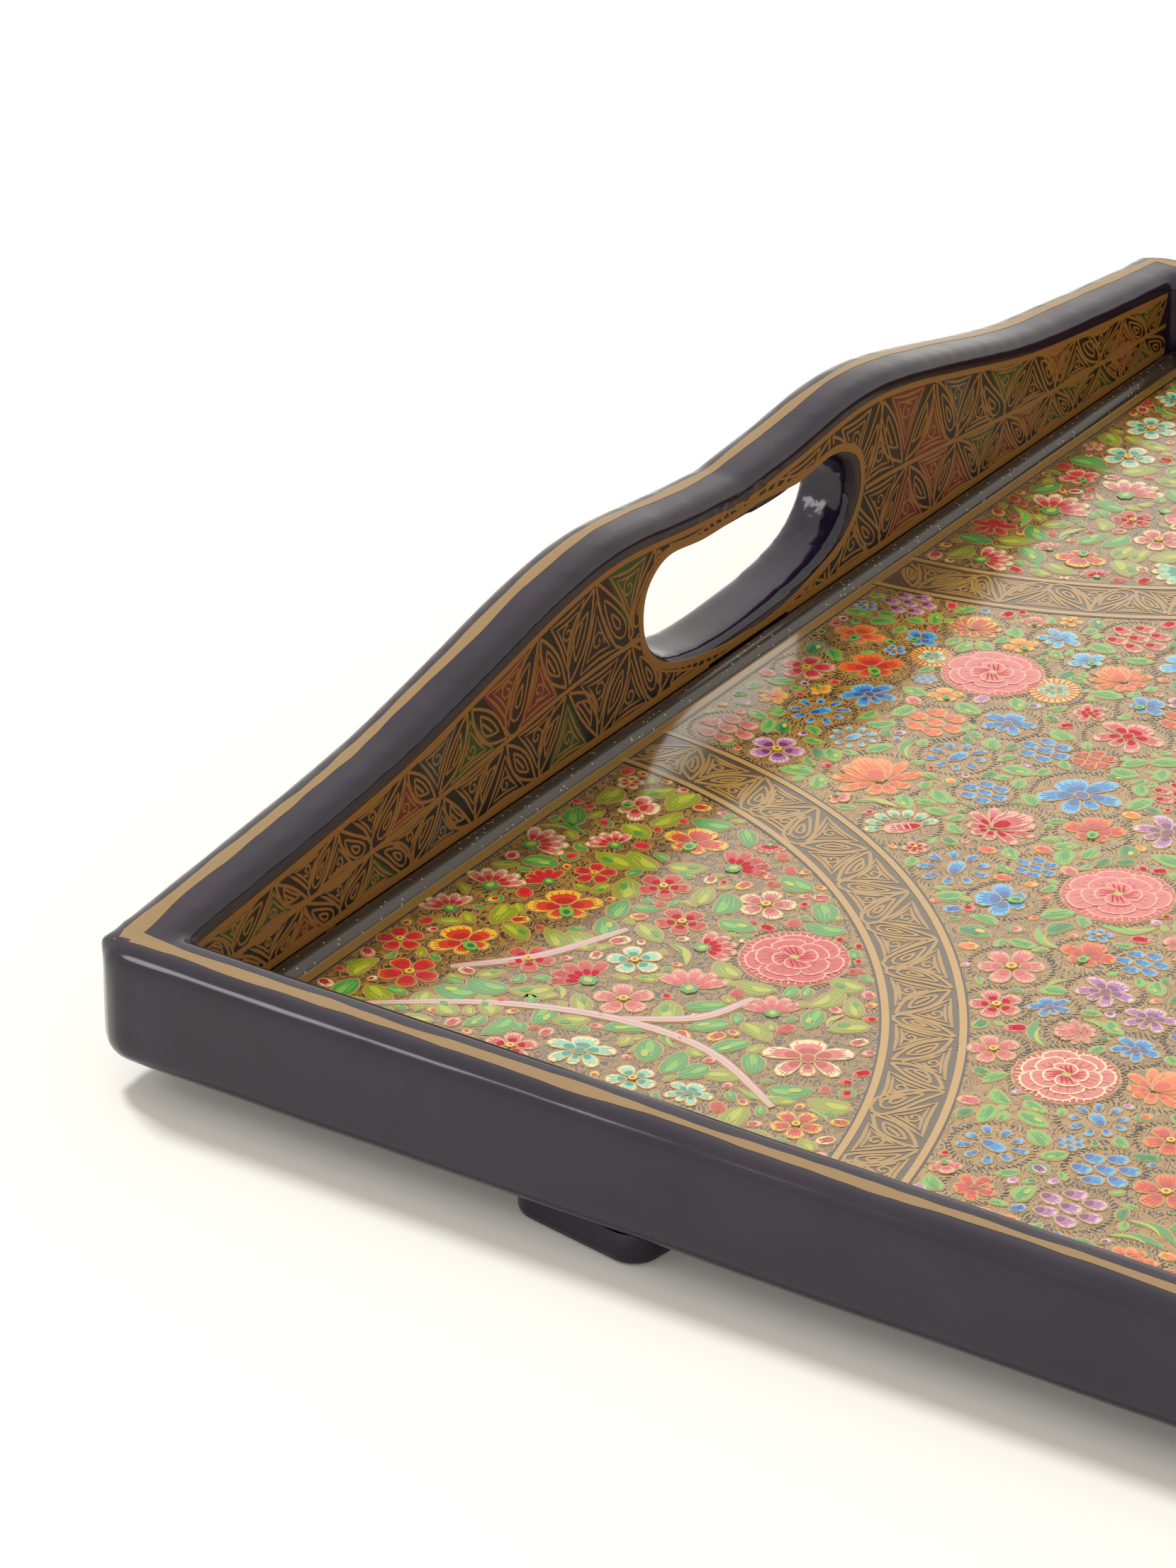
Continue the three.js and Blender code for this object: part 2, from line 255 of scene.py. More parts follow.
PAINTS = {
    "gold": (0.42, 0.225, 0.045),
    "gold_line": (0.48, 0.27, 0.065),
    "gold_brown": (0.235, 0.108, 0.024),
    "band_gold": (0.38, 0.205, 0.036),
    "band_black": (0.070, 0.040, 0.016),
    "black": (0.014, 0.009, 0.008),
    "wall_gold": (0.225, 0.102, 0.022),
    "wall_black": (0.014, 0.008, 0.004),
    "wall_red": (0.120, 0.014, 0.010),
    "wall_green": (0.020, 0.048, 0.010),
    "wall_blue": (0.012, 0.026, 0.036),
    "green_dark": (0.012, 0.150, 0.030),
    "green": (0.050, 0.270, 0.045),
    "green_light": (0.170, 0.430, 0.050),
    "olive": (0.25, 0.29, 0.006),
    "olive_light": (0.44, 0.46, 0.025),
    "yellow": (0.82, 0.47, 0.030),
    "amber": (0.78, 0.34, 0.020),
    "cream": (0.80, 0.66, 0.36),
    "peach": (0.84, 0.27, 0.060),
    "orange": (0.80, 0.14, 0.008),
    "vermilion": (0.64, 0.040, 0.008),
    "red": (0.46, 0.010, 0.010),
    "crimson": (0.33, 0.006, 0.018),
    "rose": (0.58, 0.045, 0.050),
    "pink": (0.66, 0.140, 0.125),
    "blush": (0.80, 0.350, 0.270),
    "blue_dark": (0.006, 0.085, 0.320),
    "blue": (0.025, 0.230, 0.540),
    "blue_light": (0.120, 0.450, 0.720),
    "ice": (0.28, 0.61, 0.70),
    "teal": (0.006, 0.240, 0.170),
    "mint": (0.27, 0.60, 0.40),
    "plum": (0.150, 0.010, 0.110),
    "mauve": (0.43, 0.130, 0.320),
    "lilac": (0.68, 0.44, 0.56),
    "bark": (0.62, 0.39, 0.30),
}
paint_materials = {name: paint_material(f"paint_{name}", rgb) for name, rgb in PAINTS.items()}
LACQUER = black_lacquer("black_lacquer")
GLINT_SPECKLED = glint_speckled_lacquer("glint_speckled_lacquer")
GROUND = hatched_gold("hatched_gold_ground", 0.66, PAINT_SHADE)
GROUND_DARK = hatched_gold("hatched_dark_ground", 0.44, 0.84 * PAINT_SHADE)
PINSTRIPE = paint_material("rim_gold", (0.20, 0.132, 0.062))
STEEL = worn_steel("worn_steel")


# ---------------------------------------------------------------- camera, floor and light
CAMERA_PLACE = Vector((213.7, -721.4, 418.8))
CAMERA_TARGET = Vector((-225.62, -54.66, 6))
CAMERA_LENS = 159.36
CAMERA_SENSOR = 36
FLOOR_HALF = 6.0
# The floor glows faintly, as a table that is lit through its top does.
FLOOR_COLOUR = (0.52, 0.512, 0.490)
FLOOR_GLOW = (0.100, 0.096, 0.090)
WORLD_COLOUR = (1.0, 0.955, 0.87)
WORLD_STRENGTH = 1.10
# Each lamp: name, place, target, size in metres and power in watts
LAMPS = (
    ("key", (-3.15, 1.02, 5.7), (0, 0, 0), 1.1, 420.0),
    ("edge", (-1.1, -0.92, 1.05), (-0.2, -0.17, 0), 0.42, 3.2),
)


def put(name, data):
    """Puts a new object into the scene."""
    item = bpy.data.objects.new(name, data)
    bpy.context.scene.collection.objects.link(item)
    return item


def aim(item, place, target):
    item.location = place
    item.rotation_euler = (Vector(target) - Vector(place)).to_track_quat("-Z", "Y").to_euler()


def place_camera():
    data = bpy.data.cameras.new("camera")
    data.sensor_fit = "HORIZONTAL"
    data.sensor_width = CAMERA_SENSOR
    data.lens = CAMERA_LENS
    data.clip_start = 0.01
    camera = put("camera", data)
    aim(camera, CAMERA_PLACE * MM, CAMERA_TARGET * MM)
    bpy.context.scene.camera = camera


def make_studio():
    mesh = bpy.data.meshes.new("floor")
    corners = [(x * FLOOR_HALF, y * FLOOR_HALF, 0) for x, y in SQUARE]
    mesh.from_pydata(corners, [], [(0, 1, 2, 3)])
    recipe = Recipe("pale_floor")
    recipe.look(base_color=(*FLOOR_COLOUR, 1), roughness=0.9, specular_ior_level=0.0)
    recipe.look(emission_color=(*FLOOR_GLOW, 1), emission_strength=1.0)
    mesh.materials.append(recipe.material)
    put("floor", mesh)
    world = bpy.data.worlds.new("studio")
    world.use_nodes = True
    background = world.node_tree.nodes["Background"]
    background.inputs["Color"].default_value = (*WORLD_COLOUR, 1)
    background.inputs["Strength"].default_value = WORLD_STRENGTH
    bpy.context.scene.world = world
    for name, place, target, size, power in LAMPS:
        light = bpy.data.lights.new(name, "AREA")
        light.shape = "SQUARE"
        light.size = size
        light.energy = power
        lamp = put(name, light)
        aim(lamp, place, target)
        # The key lamp is diffused: it leaves no mirror image in the lacquer.
        lamp.visible_glossy = name != "key"


# ---------------------------------------------------------------- meshes
def link_piece(mesh, slot, materials, replaced=(), tones=None):
    """Puts a piece into the scene; tones, if given, is the number of each face's material."""
    mesh.materials.clear()
    for material in materials:
        mesh.materials.append(material)
    if tones:
        mesh.polygons.foreach_set("material_index", tones)
        mesh.update()
    piece = put(mesh.name, mesh)
    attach(piece, "root")
    if replaced:
        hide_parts(*replaced)


def mesh_from(name, vertices, faces, smooth=False):
    mesh = bpy.data.meshes.new(name)
    mesh.from_pydata([(x * MM, y * MM, z * MM) for x, y, z in vertices], [], faces)
    mesh.polygons.foreach_set("use_smooth", [smooth] * len(mesh.polygons))
    return mesh


def fix_normals(mesh):
    work = bmesh.new()
    work.from_mesh(mesh)
    bmesh.ops.recalc_face_normals(work, faces=work.faces)
    work.to_mesh(mesh)
    work.free()


def spline(points, steps, closed=False):
    """A Catmull-Rom curve through the points."""
    count = len(points)
    result = []
    for index in range(count if closed else count - 1):
        places = [index + k for k in range(-1, 3)]
        p = [points[k % count if closed else min(max(k, 0), count - 1)] for k in places]
        for step in range(steps):
            t = step / steps
            result.append(tuple(
                0.5 * (2 * p[1][a] + (p[2][a] - p[0][a]) * t
                       + (2 * p[0][a] - 5 * p[1][a] + 4 * p[2][a] - p[3][a]) * t * t
                       + (3 * p[1][a] - p[0][a] - 3 * p[2][a] + p[3][a]) * t ** 3)
                for a in range(len(p[1]))
            ))
    if not closed:
        result.append(tuple(points[-1]))
    return result


def outline_normals(outline):
    """Unit normals that point to the right of the way round: outwards on an anticlockwise loop."""
    normals = []
    for before, after in zip(outline[-1:] + outline[:-1], outline[1:] + outline[:1]):
        dx, dy = after[0] - before[0], after[1] - before[1]
        length = math.hypot(dx, dy) or 1
        normals.append((dy / length, -dx / length))
    return normals


def ring_faces(start, rings, count, closed=False):
    """Faces between neighbouring rings of points; closed joins the last ring to the first."""
    faces = []
    for ring in range(rings if closed else rings - 1):
        near = start + ring * count
        far = start + (ring + 1) % rings * count
        for k in range(count):
            after = (k + 1) % count
            faces.append((near + k, near + after, far + after, far + k))
    return faces


def slab_faces(start, count):
    """Top, underside and edge of a flat piece: its upper points come first, then the lower ones."""
    faces = [tuple(range(start, start + count)), tuple(range(start + 2 * count - 1, start + count - 1, -1))]
    for k in range(count):
        a, b = start + k, start + (k + 1) % count
        faces.append((a, a + count, b + count, b))
    return faces


def rounded_plate(loops, thickness, radii, place, steps=5):
    """A plate with round edges: radii holds each loop's pair, for the low and the high face.

    The first loop runs anticlockwise and the holes clockwise.
    """
    vertices, faces, flats, low_starts, high_starts = [], [], [], [], []
    angles = [math.pi / 2 * k / steps for k in range(steps + 1)]
    for loop, (low, high) in zip(loops, radii):
        rings = [(low * (1 - math.sin(a)), low * (1 - math.cos(a))) for a in angles]
        rings += [(high * (1 - math.sin(a)), thickness - high * (1 - math.cos(a))) for a in reversed(angles)]
        edge = [(u, v, nu, nv) for (u, v), (nu, nv) in zip(loop, outline_normals(loop))]
        low_starts.append(len(vertices))
        high_starts.append(len(vertices) + (len(rings) - 1) * len(loop))
        faces += ring_faces(len(vertices), len(rings), len(loop))
        for inset, height in rings:
            vertices += [place(u - nu * inset, v - nv * inset, height) for u, v, nu, nv in edge]
        flats.append([Vector((u - nu * low, v - nv * low, 0)) for u, v, nu, nv in edge])
    points = sum(flats, [])
    for starts, flip in ((low_starts, True), (high_starts, False)):
        numbers = [start + k for start, flat in zip(starts, flats) for k in range(len(flat))]
        for corners in tessellate_polygon(flats):
            a, b, c = (points[k] for k in corners)
            face = tuple(numbers[k] for k in corners)
            upward = (b - a).cross(c - a).z > 0
            faces.append(face if upward != flip else face[::-1])
    return vertices, faces


BOARD_CURVE = spline(BOARD_TOP, 8)


def board_height(y):
    """Height of an end board's top edge above the frame's underside."""
    for (a, za), (b, zb) in zip(BOARD_CURVE, BOARD_CURVE[1:]):
        if abs(y) <= b:
            return za + (zb - za) * (abs(y) - a) / (b - a)
    return RAIL_HEIGHT


def hand_hole(sign):
    """The hole's outline seen from inside the tray on one board; the other board's is its mirror image."""
    return spline([(sign * a, z) for a, z in HAND_HOLE], HOLE_STEPS, closed=True)


def board_loops(sign):
    reach = BOARD_TOP[-1][0]
    top = BOARD_CURVE[::-1] + [(-a, z) for a, z in BOARD_CURVE[1:]]
    hole = hand_hole(sign)
    return [[(-reach, 0), (reach, 0)] + top, hole[::-1] if sign > 0 else hole]


def rail_loop(steps=8):
    """Plan of the front rail, with its outer corners rounded."""
    loop = []
    for side, angle in ((-1, math.pi), (1, 1.5 * math.pi)):
        for k in range(steps + 1):
            a = angle + math.pi / 2 * k / steps
            x = side * (HALF_LENGTH - CORNER_RADIUS) + CORNER_RADIUS * math.cos(a)
            loop.append((x, -HALF_WIDTH + CORNER_RADIUS + CORNER_RADIUS * math.sin(a)))
    return loop + [(HALF_LENGTH, -INNER_Y), (-HALF_LENGTH, -INNER_Y)]


def frame_source():
    """The four timbers as rough closed solids that overlap at the corners."""
    vertices, faces = [], []
    for sign in (-1, 1):
        rail = rounded_plate(
            [rail_loop()], RAIL_HEIGHT, [(3.0, 3.0)],
            lambda u, v, w, s=sign: (-s * u, -s * v, FRAME_BOTTOM + w),
        )
        board = rounded_plate(
            board_loops(sign), BOARD_THICKNESS, [(2.2, 3.0), (1.4, 1.8)],
            lambda u, v, w, s=sign: (s * (HALF_LENGTH - BOARD_THICKNESS + w), s * u, FRAME_BOTTOM + v),
        )
        for points, polygons in (rail, board):
            faces += [tuple(len(vertices) + k for k in polygon) for polygon in polygons]
            vertices += points
    return mesh_from("frame_source", vertices, faces)


# ---------------------------------------------------------------- frame and slips
VOXEL = 1.15
REBATE_WIDTH = 5.0
REBATE_HEIGHT = 3.8
NAIL_FROM_END = 9.5
NAIL_HEIGHTS = (6.8, 13.7)
DIMPLE_RADIUS = 1.7
DIMPLE_DEPTH = 0.28
WAVE_SIZE = 17.0
WAVE_HEIGHT = 0.16
WAVE_LIMIT = 0.3
# The inner faces, and everything lower than this above the panel, stay as they are.
INNER_MARGIN = 0.6
CALM_HEIGHT = 6.0
JOINT_Y = INNER_Y - 0.5
SHARP_ANGLE = math.radians(50)


def evaluated_mesh(piece):
    graph = bpy.context.evaluated_depsgraph_get()
    return bpy.data.meshes.new_from_object(piece.evaluated_get(graph), depsgraph=graph)


def add_waves(mesh):
    """Hand-sanded unevenness, none on the inner faces, and the sunken nails."""
    normals = [v.normal.copy() for v in mesh.vertices]
    for vertex, normal in zip(mesh.vertices, normals):
        p = vertex.co / MM
        inner = abs(p.x) < INNER_X + INNER_MARGIN and abs(p.y) < INNER_Y + INNER_MARGIN
        if p.z < FRAME_BOTTOM + 0.5 or (inner and p.z < PANEL_TOP + CALM_HEIGHT):
            continue
        move = 0 if inner and abs(normal.z) < 0.2 else WAVE_HEIGHT * noise.noise(p / WAVE_SIZE)
        if abs(normal.y) > 0.8 and abs(p.y) > HALF_WIDTH - 1:
            for height in NAIL_HEIGHTS:
                away = math.hypot(abs(p.x) - HALF_LENGTH + NAIL_FROM_END, p.z - FRAME_BOTTOM - height)
                move -= DIMPLE_DEPTH * math.exp(-((away / DIMPLE_RADIUS) ** 2) * 2)
        vertex.co += normal * min(move, WAVE_LIMIT) * MM


def make_frame():
    """The four timbers fused and smoothed, with a rebate for the panel."""
    source = put("frame_source", frame_source())
    remesh = source.modifiers.new("union", "REMESH")
    remesh.mode = "VOXEL"
    remesh.voxel_size = VOXEL * MM
    soften = source.modifiers.new("soften", "SMOOTH")
    soften.factor = 0.5
    soften.iterations = 4
    union = put("frame_union", evaluated_mesh(source))
    x, y = INNER_X + REBATE_WIDTH, INNER_Y + REBATE_WIDTH
    heights = (FRAME_BOTTOM - 1, FRAME_BOTTOM + REBATE_HEIGHT)
    corners = [(sx * x, sy * y, z) for z in heights for sx, sy in SQUARE]
    sides = [(3, 2, 1, 0), (4, 5, 6, 7), (0, 1, 5, 4), (1, 2, 6, 5), (2, 3, 7, 6), (3, 0, 4, 7)]
    cutter = put("rebate_cutter", mesh_from("rebate_cutter", corners, sides))
    rebate = union.modifiers.new("rebate", "BOOLEAN")
    rebate.operation = "DIFFERENCE"
    rebate.object = cutter
    rebate.solver = "EXACT"
    whole = evaluated_mesh(union)
    for helper in (source, union, cutter):
        bpy.data.objects.remove(helper)
    add_waves(whole)
    return whole


def cut_mesh(whole, name, planes):
    """Keeps the part of the mesh in front of each (point, normal) plane and closes the cuts."""
    work = bmesh.new()
    work.from_mesh(whole)
    for point, normal in planes:
        cut = bmesh.ops.bisect_plane(
            work, geom=work.verts[:] + work.edges[:] + work.faces[:], dist=1e-7, clear_inner=True,
            plane_co=Vector(point) * MM, plane_no=normal,
        )
        edges = [item for item in cut["geom_cut"] if isinstance(item, bmesh.types.BMEdge)]
        bmesh.ops.holes_fill(work, edges=edges)
    for face in work.faces:
        face.smooth = True
    mesh = bpy.data.meshes.new(name)
    work.to_mesh(mesh)
    work.free()
    mesh.set_sharp_from_angle(angle=SHARP_ANGLE)
    return mesh


def split_frame(whole):
    timbers = {}
    for name, sign in (("front", -1), ("back", 1)):
        timbers[f"{name}_rail"] = [((0, sign * JOINT_Y, 0), (0, sign, 0))]
    for name, sign in (("left", -1), ("right", 1)):
        joints = [((0, side * JOINT_Y, 0), (0, -side, 0)) for side in (-1, 1)]
        timbers[f"{name}_end_board"] = joints + [((0, 0, 0), (sign, 0, 0))]
    for name, planes in timbers.items():
        link_piece(cut_mesh(whole, f"{name}_lacquered", planes), "black_lacquer", [LACQUER], [name])


SLIP_STATION = 3.0
SLIP_ARCH = 10
SLIP_ROOT = -0.25
SLIP_WOBBLE = 0.10


def make_slips():
    """Low arched strips with mitred ends, slightly uneven along their length."""
    section = [(0, SLIP_ROOT)]
    for k in range(SLIP_ARCH + 1):
        a = math.pi * (1 - k / SLIP_ARCH)
        section.append((SLIP_WIDTH / 2 * (1 + math.cos(a)), (SLIP_TOP - PANEL_TOP) * math.sin(a)))
    section.append((SLIP_WIDTH, SLIP_ROOT))
    for name, half, distance, angle in (
        ("front", INNER_X, INNER_Y, 0.0),
        ("back", INNER_X, INNER_Y, math.pi),
        ("left", INNER_Y, INNER_X, -math.pi / 2),
        ("right", INNER_Y, INNER_X, math.pi / 2),
    ):
        length = 2 * half
        count, stations = len(section), int(length / SLIP_STATION)
        vertices = []
        for station in range(stations + 1):
            along = length * (station / stations - 0.5)
            for across, up in section:
                x = along * (1 - 2 * (across + 0.1) / length)
                y = across - distance + 0.05
                seed = Vector((x / 14, across / 6, angle * 9))
                wobble = SLIP_WOBBLE * noise.noise(seed) if up > 0.3 else 0
                px = x * math.cos(angle) - y * math.sin(angle)
                py = x * math.sin(angle) + y * math.cos(angle)
                vertices.append((px, py, PANEL_TOP + up + wobble))
        faces = ring_faces(0, stations + 1, count)
        faces += [tuple(range(count))[::-1], tuple(stations * count + k for k in range(count))]
        mesh = mesh_from(f"{name}_slip_lacquered", vertices, faces, smooth=True)
        for end in (-1, -2):
            mesh.polygons[end].use_smooth = False
        fix_normals(mesh)
        link_piece(mesh, "black_lacquer", [GLINT_SPECKLED], [f"{name}_slip"])


# ---------------------------------------------------------------- painting
# Heights of the coats of paint above the ground, in the order in which they are brushed on.
COATS = (
    "dark", "gold", "stem", "base", "shade", "detail", "top", "crown",
    "crest", "high", "higher", "highest", "heart", "eye", "pupil", "spark",
)
COAT_STEP = 0.026
PAINT_LEVELS = {coat: COAT_STEP * (number + 1) for number, coat in enumerate(COATS)}
# No two strokes of one coat that touch each other lie at quite the same height.
STROKE_STEP = 0.0004
STROKE_TURN = 61
STROKE_RAMP = 0.0015
SUNK = -0.03
CLIP_STEP = 0.9


def between(a, b, t):
    return a + (b - a) * t


def turn(angle):
    return complex(math.cos(angle), math.sin(angle))


def round_angles(count, start=0.0):
    """Equal steps all the way round."""
    return [start + k * math.tau / count for k in range(count)]


def anticlockwise(outline):
    area = sum(a.real * b.imag - b.real * a.imag for a, b in zip(outline, outline[1:] + outline[:1]))
    return outline[::-1] if area < 0 else outline


def clear_runs(path, blocked):
    """The stretches of a path that lie outside a blocked region."""
    dense = path[:1]
    for a, b in zip(path, path[1:]):
        parts = max(1, math.ceil(abs(b - a) / CLIP_STEP))
        dense += [between(a, b, k / parts) for k in range(1, parts + 1)]
    runs = [[]]
    for p in dense:
        if not blocked(p):
            runs[-1].append(p)
        elif runs[-1]:
            runs.append([])
    return [run for run in runs if len(run) > 1]


class Canvas:
    """Collects the paint of one piece: flat closed films, each a little above the last.

    Places on it are complex numbers, and place turns one and its height into a point of the tray.
    """

    strokes = 0

    def __init__(self, name, place, slot="painted_panel"):
        self.name, self.place, self.slot = name, place, slot
        self.blocked = None
        self.vertices, self.faces, self.tones, self.palette = [], [], [], []

    def height(self, level, lift):
        Canvas.strokes += 1
        return PAINT_LEVELS[level] + (lift or STROKE_STEP * (Canvas.strokes % STROKE_TURN))

    def add(self, faces, paint):
        if paint not in self.palette:
            self.palette.append(paint)
        self.faces += faces
        self.tones += [self.palette.index(paint)] * len(faces)

    def film(self, outline, level, paint, lift=0.0):
        """A closed film with the outline's shape."""
        if self.blocked and any(map(self.blocked, outline)):
            return
        outline = anticlockwise(outline)
        self.add(slab_faces(len(self.vertices), len(outline)), paint)
        for height in (self.height(level, lift), SUNK):
            self.vertices += [self.place(p.real, p.imag, height) for p in outline]

    def line(self, path, width, level, paint, closed=False, taper=0.0, lift=0.0):
        """A brushed line; taper thins its ends."""
        if self.blocked and any(map(self.blocked, path)):
            for run in clear_runs(path + path[:1] if closed else path, self.blocked):
                self.stroke(run, width, level, paint, False, taper, lift)
        else:
            self.stroke(path, width, level, paint, closed, taper, lift)

    def stroke(self, path, width, level, paint, closed, taper, lift):
        count = len(path)
        start = len(self.vertices)
        high = self.height(level, lift)
        for k, p in enumerate(path):
            before = path[k - 1] if (k or closed) else p
            after = path[(k + 1) % count] if (k < count - 1 or closed) else p
            across = (after - before) * 1j / (abs(after - before) or 1)
            t = k / (count - 1)
            half = width / 2 * (1 - taper * abs(2 * t - 1) ** 2)
            left, right = p + across * half, p - across * half
            rise = high + STROKE_RAMP * t
            for q, height in ((left, rise), (right, rise), (left, SUNK), (right, SUNK)):
                self.vertices.append(self.place(q.real, q.imag, height))
        faces = []
        for k in range(count if closed else count - 1):
            a, b = start + 4 * k, start + 4 * ((k + 1) % count)
            faces += [
                (a + 1, b + 1, b, a), (a + 2, b + 2, b + 3, a + 3),
                (a, b, b + 2, a + 2), (a + 3, b + 3, b + 1, a + 1),
            ]
        if not closed:
            end = start + 4 * (count - 1)
            faces += [(start, start + 2, start + 3, start + 1), (end + 1, end + 3, end + 2, end)]
        self.add(faces, paint)

    def finish(self):
        mesh = mesh_from(self.name, self.vertices, self.faces)
        link_piece(mesh, self.slot, [paint_materials[paint] for paint in self.palette], tones=self.tones)


def ellipse(centre, a, b, angle=0.0, count=10):
    spin = turn(angle)
    return [centre + spin * complex(a * math.cos(k), b * math.sin(k)) for k in round_angles(count)]


def disc(centre, size, count):
    return ellipse(centre, size, size, 0, count)


def leaf_shape(base, angle, length, width, bend=0.12, count=6, shift=0.0, roundness=0.62):
    """A leaf from its base; shift moves it sideways, and a low roundness makes it fuller."""
    spin = turn(angle)
    upper, lower = [], []
    for k in range(count + 1):
        t = k / count
        middle = complex(t * length, bend * length * math.sin(math.pi * t) + shift * width)
        half = width / 2 * math.sin(math.pi * t ** 0.85) ** roundness if 0 < k < count else 0
        upper.append(base + spin * (middle + 1j * half))
        lower.append(base + spin * (middle - 1j * half))
    return lower + upper[-2:0:-1]


def petal_shape(centre, angle, inner, outer, width, count, swirl):
    """A petal, broad at its outer end, between two distances from the flower's centre."""
    points = []
    for a in round_angles(count):
        t = 0.5 - 0.5 * math.cos(a)
        side = width / 2 * math.sin(a) * (0.62 + 0.52 * t)
        points.append(centre + complex(inner + (outer - inner) * t, side) * turn(angle + swirl * t))
    return points


def wavy_disc(centre, radius, waves, depth, count, phase=0.0):
    return [
        centre + radius * (1 + depth * math.cos(waves * a + phase)) * turn(a)
        for a in round_angles(count)
    ]


def both_sides(*rows):
    """Each row of a flower's petals and its mirror image."""
    return [(way * turned, *rest) for turned, *rest in rows for way in (1, -1)]


def spread(count, angle, *row):
    """Petals side by side over an angle."""
    return [(angle * ((k + 0.5) / count - 0.5), *row) for k in range(count)]


GOLD_EDGE = 0.30
THIN_EDGE = 0.22
STREAK = 0.20
FIRST_COAT = 3
# The longer a petal or a leaf is, the more brush work it gets; these are the lengths where each begins.
PETAL_DEEP_FROM = 1.5
PETAL_STREAKS_FROM = 2.2
LEAF_HEART_FROM = 2.4
LEAF_STREAKS_FROM = 3.2
LEAF_TOUCH_FROM = 3.6
BUD_STREAKS_FROM = 1.2
FRINGE_PITCH = 0.85
ROSE_STEP = 0.004
ROOM_CELL = 4.0
PALE_TONES = ("cream", "mint", "teal")
BOARDS = ("leaves", "stems", "roses", "warm_flowers", "pale_flowers", "blue_flowers", "buds", "outlines")
# Each ring of a rose: count, inner and outer reach and width in radii, swirl
ROSE_RINGS = (
    (7, 0.26, 0.95, 0.80, 0.2),
    (5, 0.12, 0.72, 0.76, -0.25),
    (4, 0.00, 0.46, 0.52, 0.7),
)
# Petals of the uneven flowers: turn, inner and outer reach and width in radii
PANSY_WINGS = both_sides((1.32, 0.10, 1.0, 0.66), (2.45, 0.10, 0.66, 0.44))
PANSY_LIP = [(0, 0.12, 0.92, 1.0)]
LOTUS_SKIRT = both_sides((0.95, 0.16, 1.12, 0.33), (1.55, 0.16, 1.02, 0.33), (2.35, 0.16, 0.66, 0.33))
LOTUS_FOOT = [(3.1, 0.16, 0.62, 0.33)]
LOTUS_BOWL = both_sides((0.40, 0.0, 1.10, 0.62))
LOTUS_FRONT = [(0, -0.04, 1.18, 0.72)]
TRUMPET_SIDES = both_sides((1.05, 0.16, 1.0, 0.52), (2.15, 0.16, 0.92, 0.46))
TRUMPET_MIDDLE = [(0, 0.14, 0.80, 0.86), (math.pi, 0.2, 0.7, 0.34)]
FAT_DROP = [(0, -0.36, 0.42, 0.46)]
FAN_PETALS = spread(5, 2.5, 0.28, 1.38, 0.52)
CROWN_PETALS = spread(7, 3.3, 0.62, 1.12, 0.36)
CROWN_BOWL = [(math.pi / 2, -0.58, 0.58, 0.62)]
STAR_PETALS = [(angle, 0.12, 0.68, 0.42) for angle in round_angles(5)]
# Tones of a leaf: (body, streaks, touch), the commoner and the rarer set and the share of the commoner
LIGHT_LEAVES = (("green_light", "green", "olive_light"), ("green", "green_dark", "yellow"), 0.8)
DARK_LEAVES = (("olive", "olive_light", "green"), ("green", "green_light", "olive_light"), 0.55)


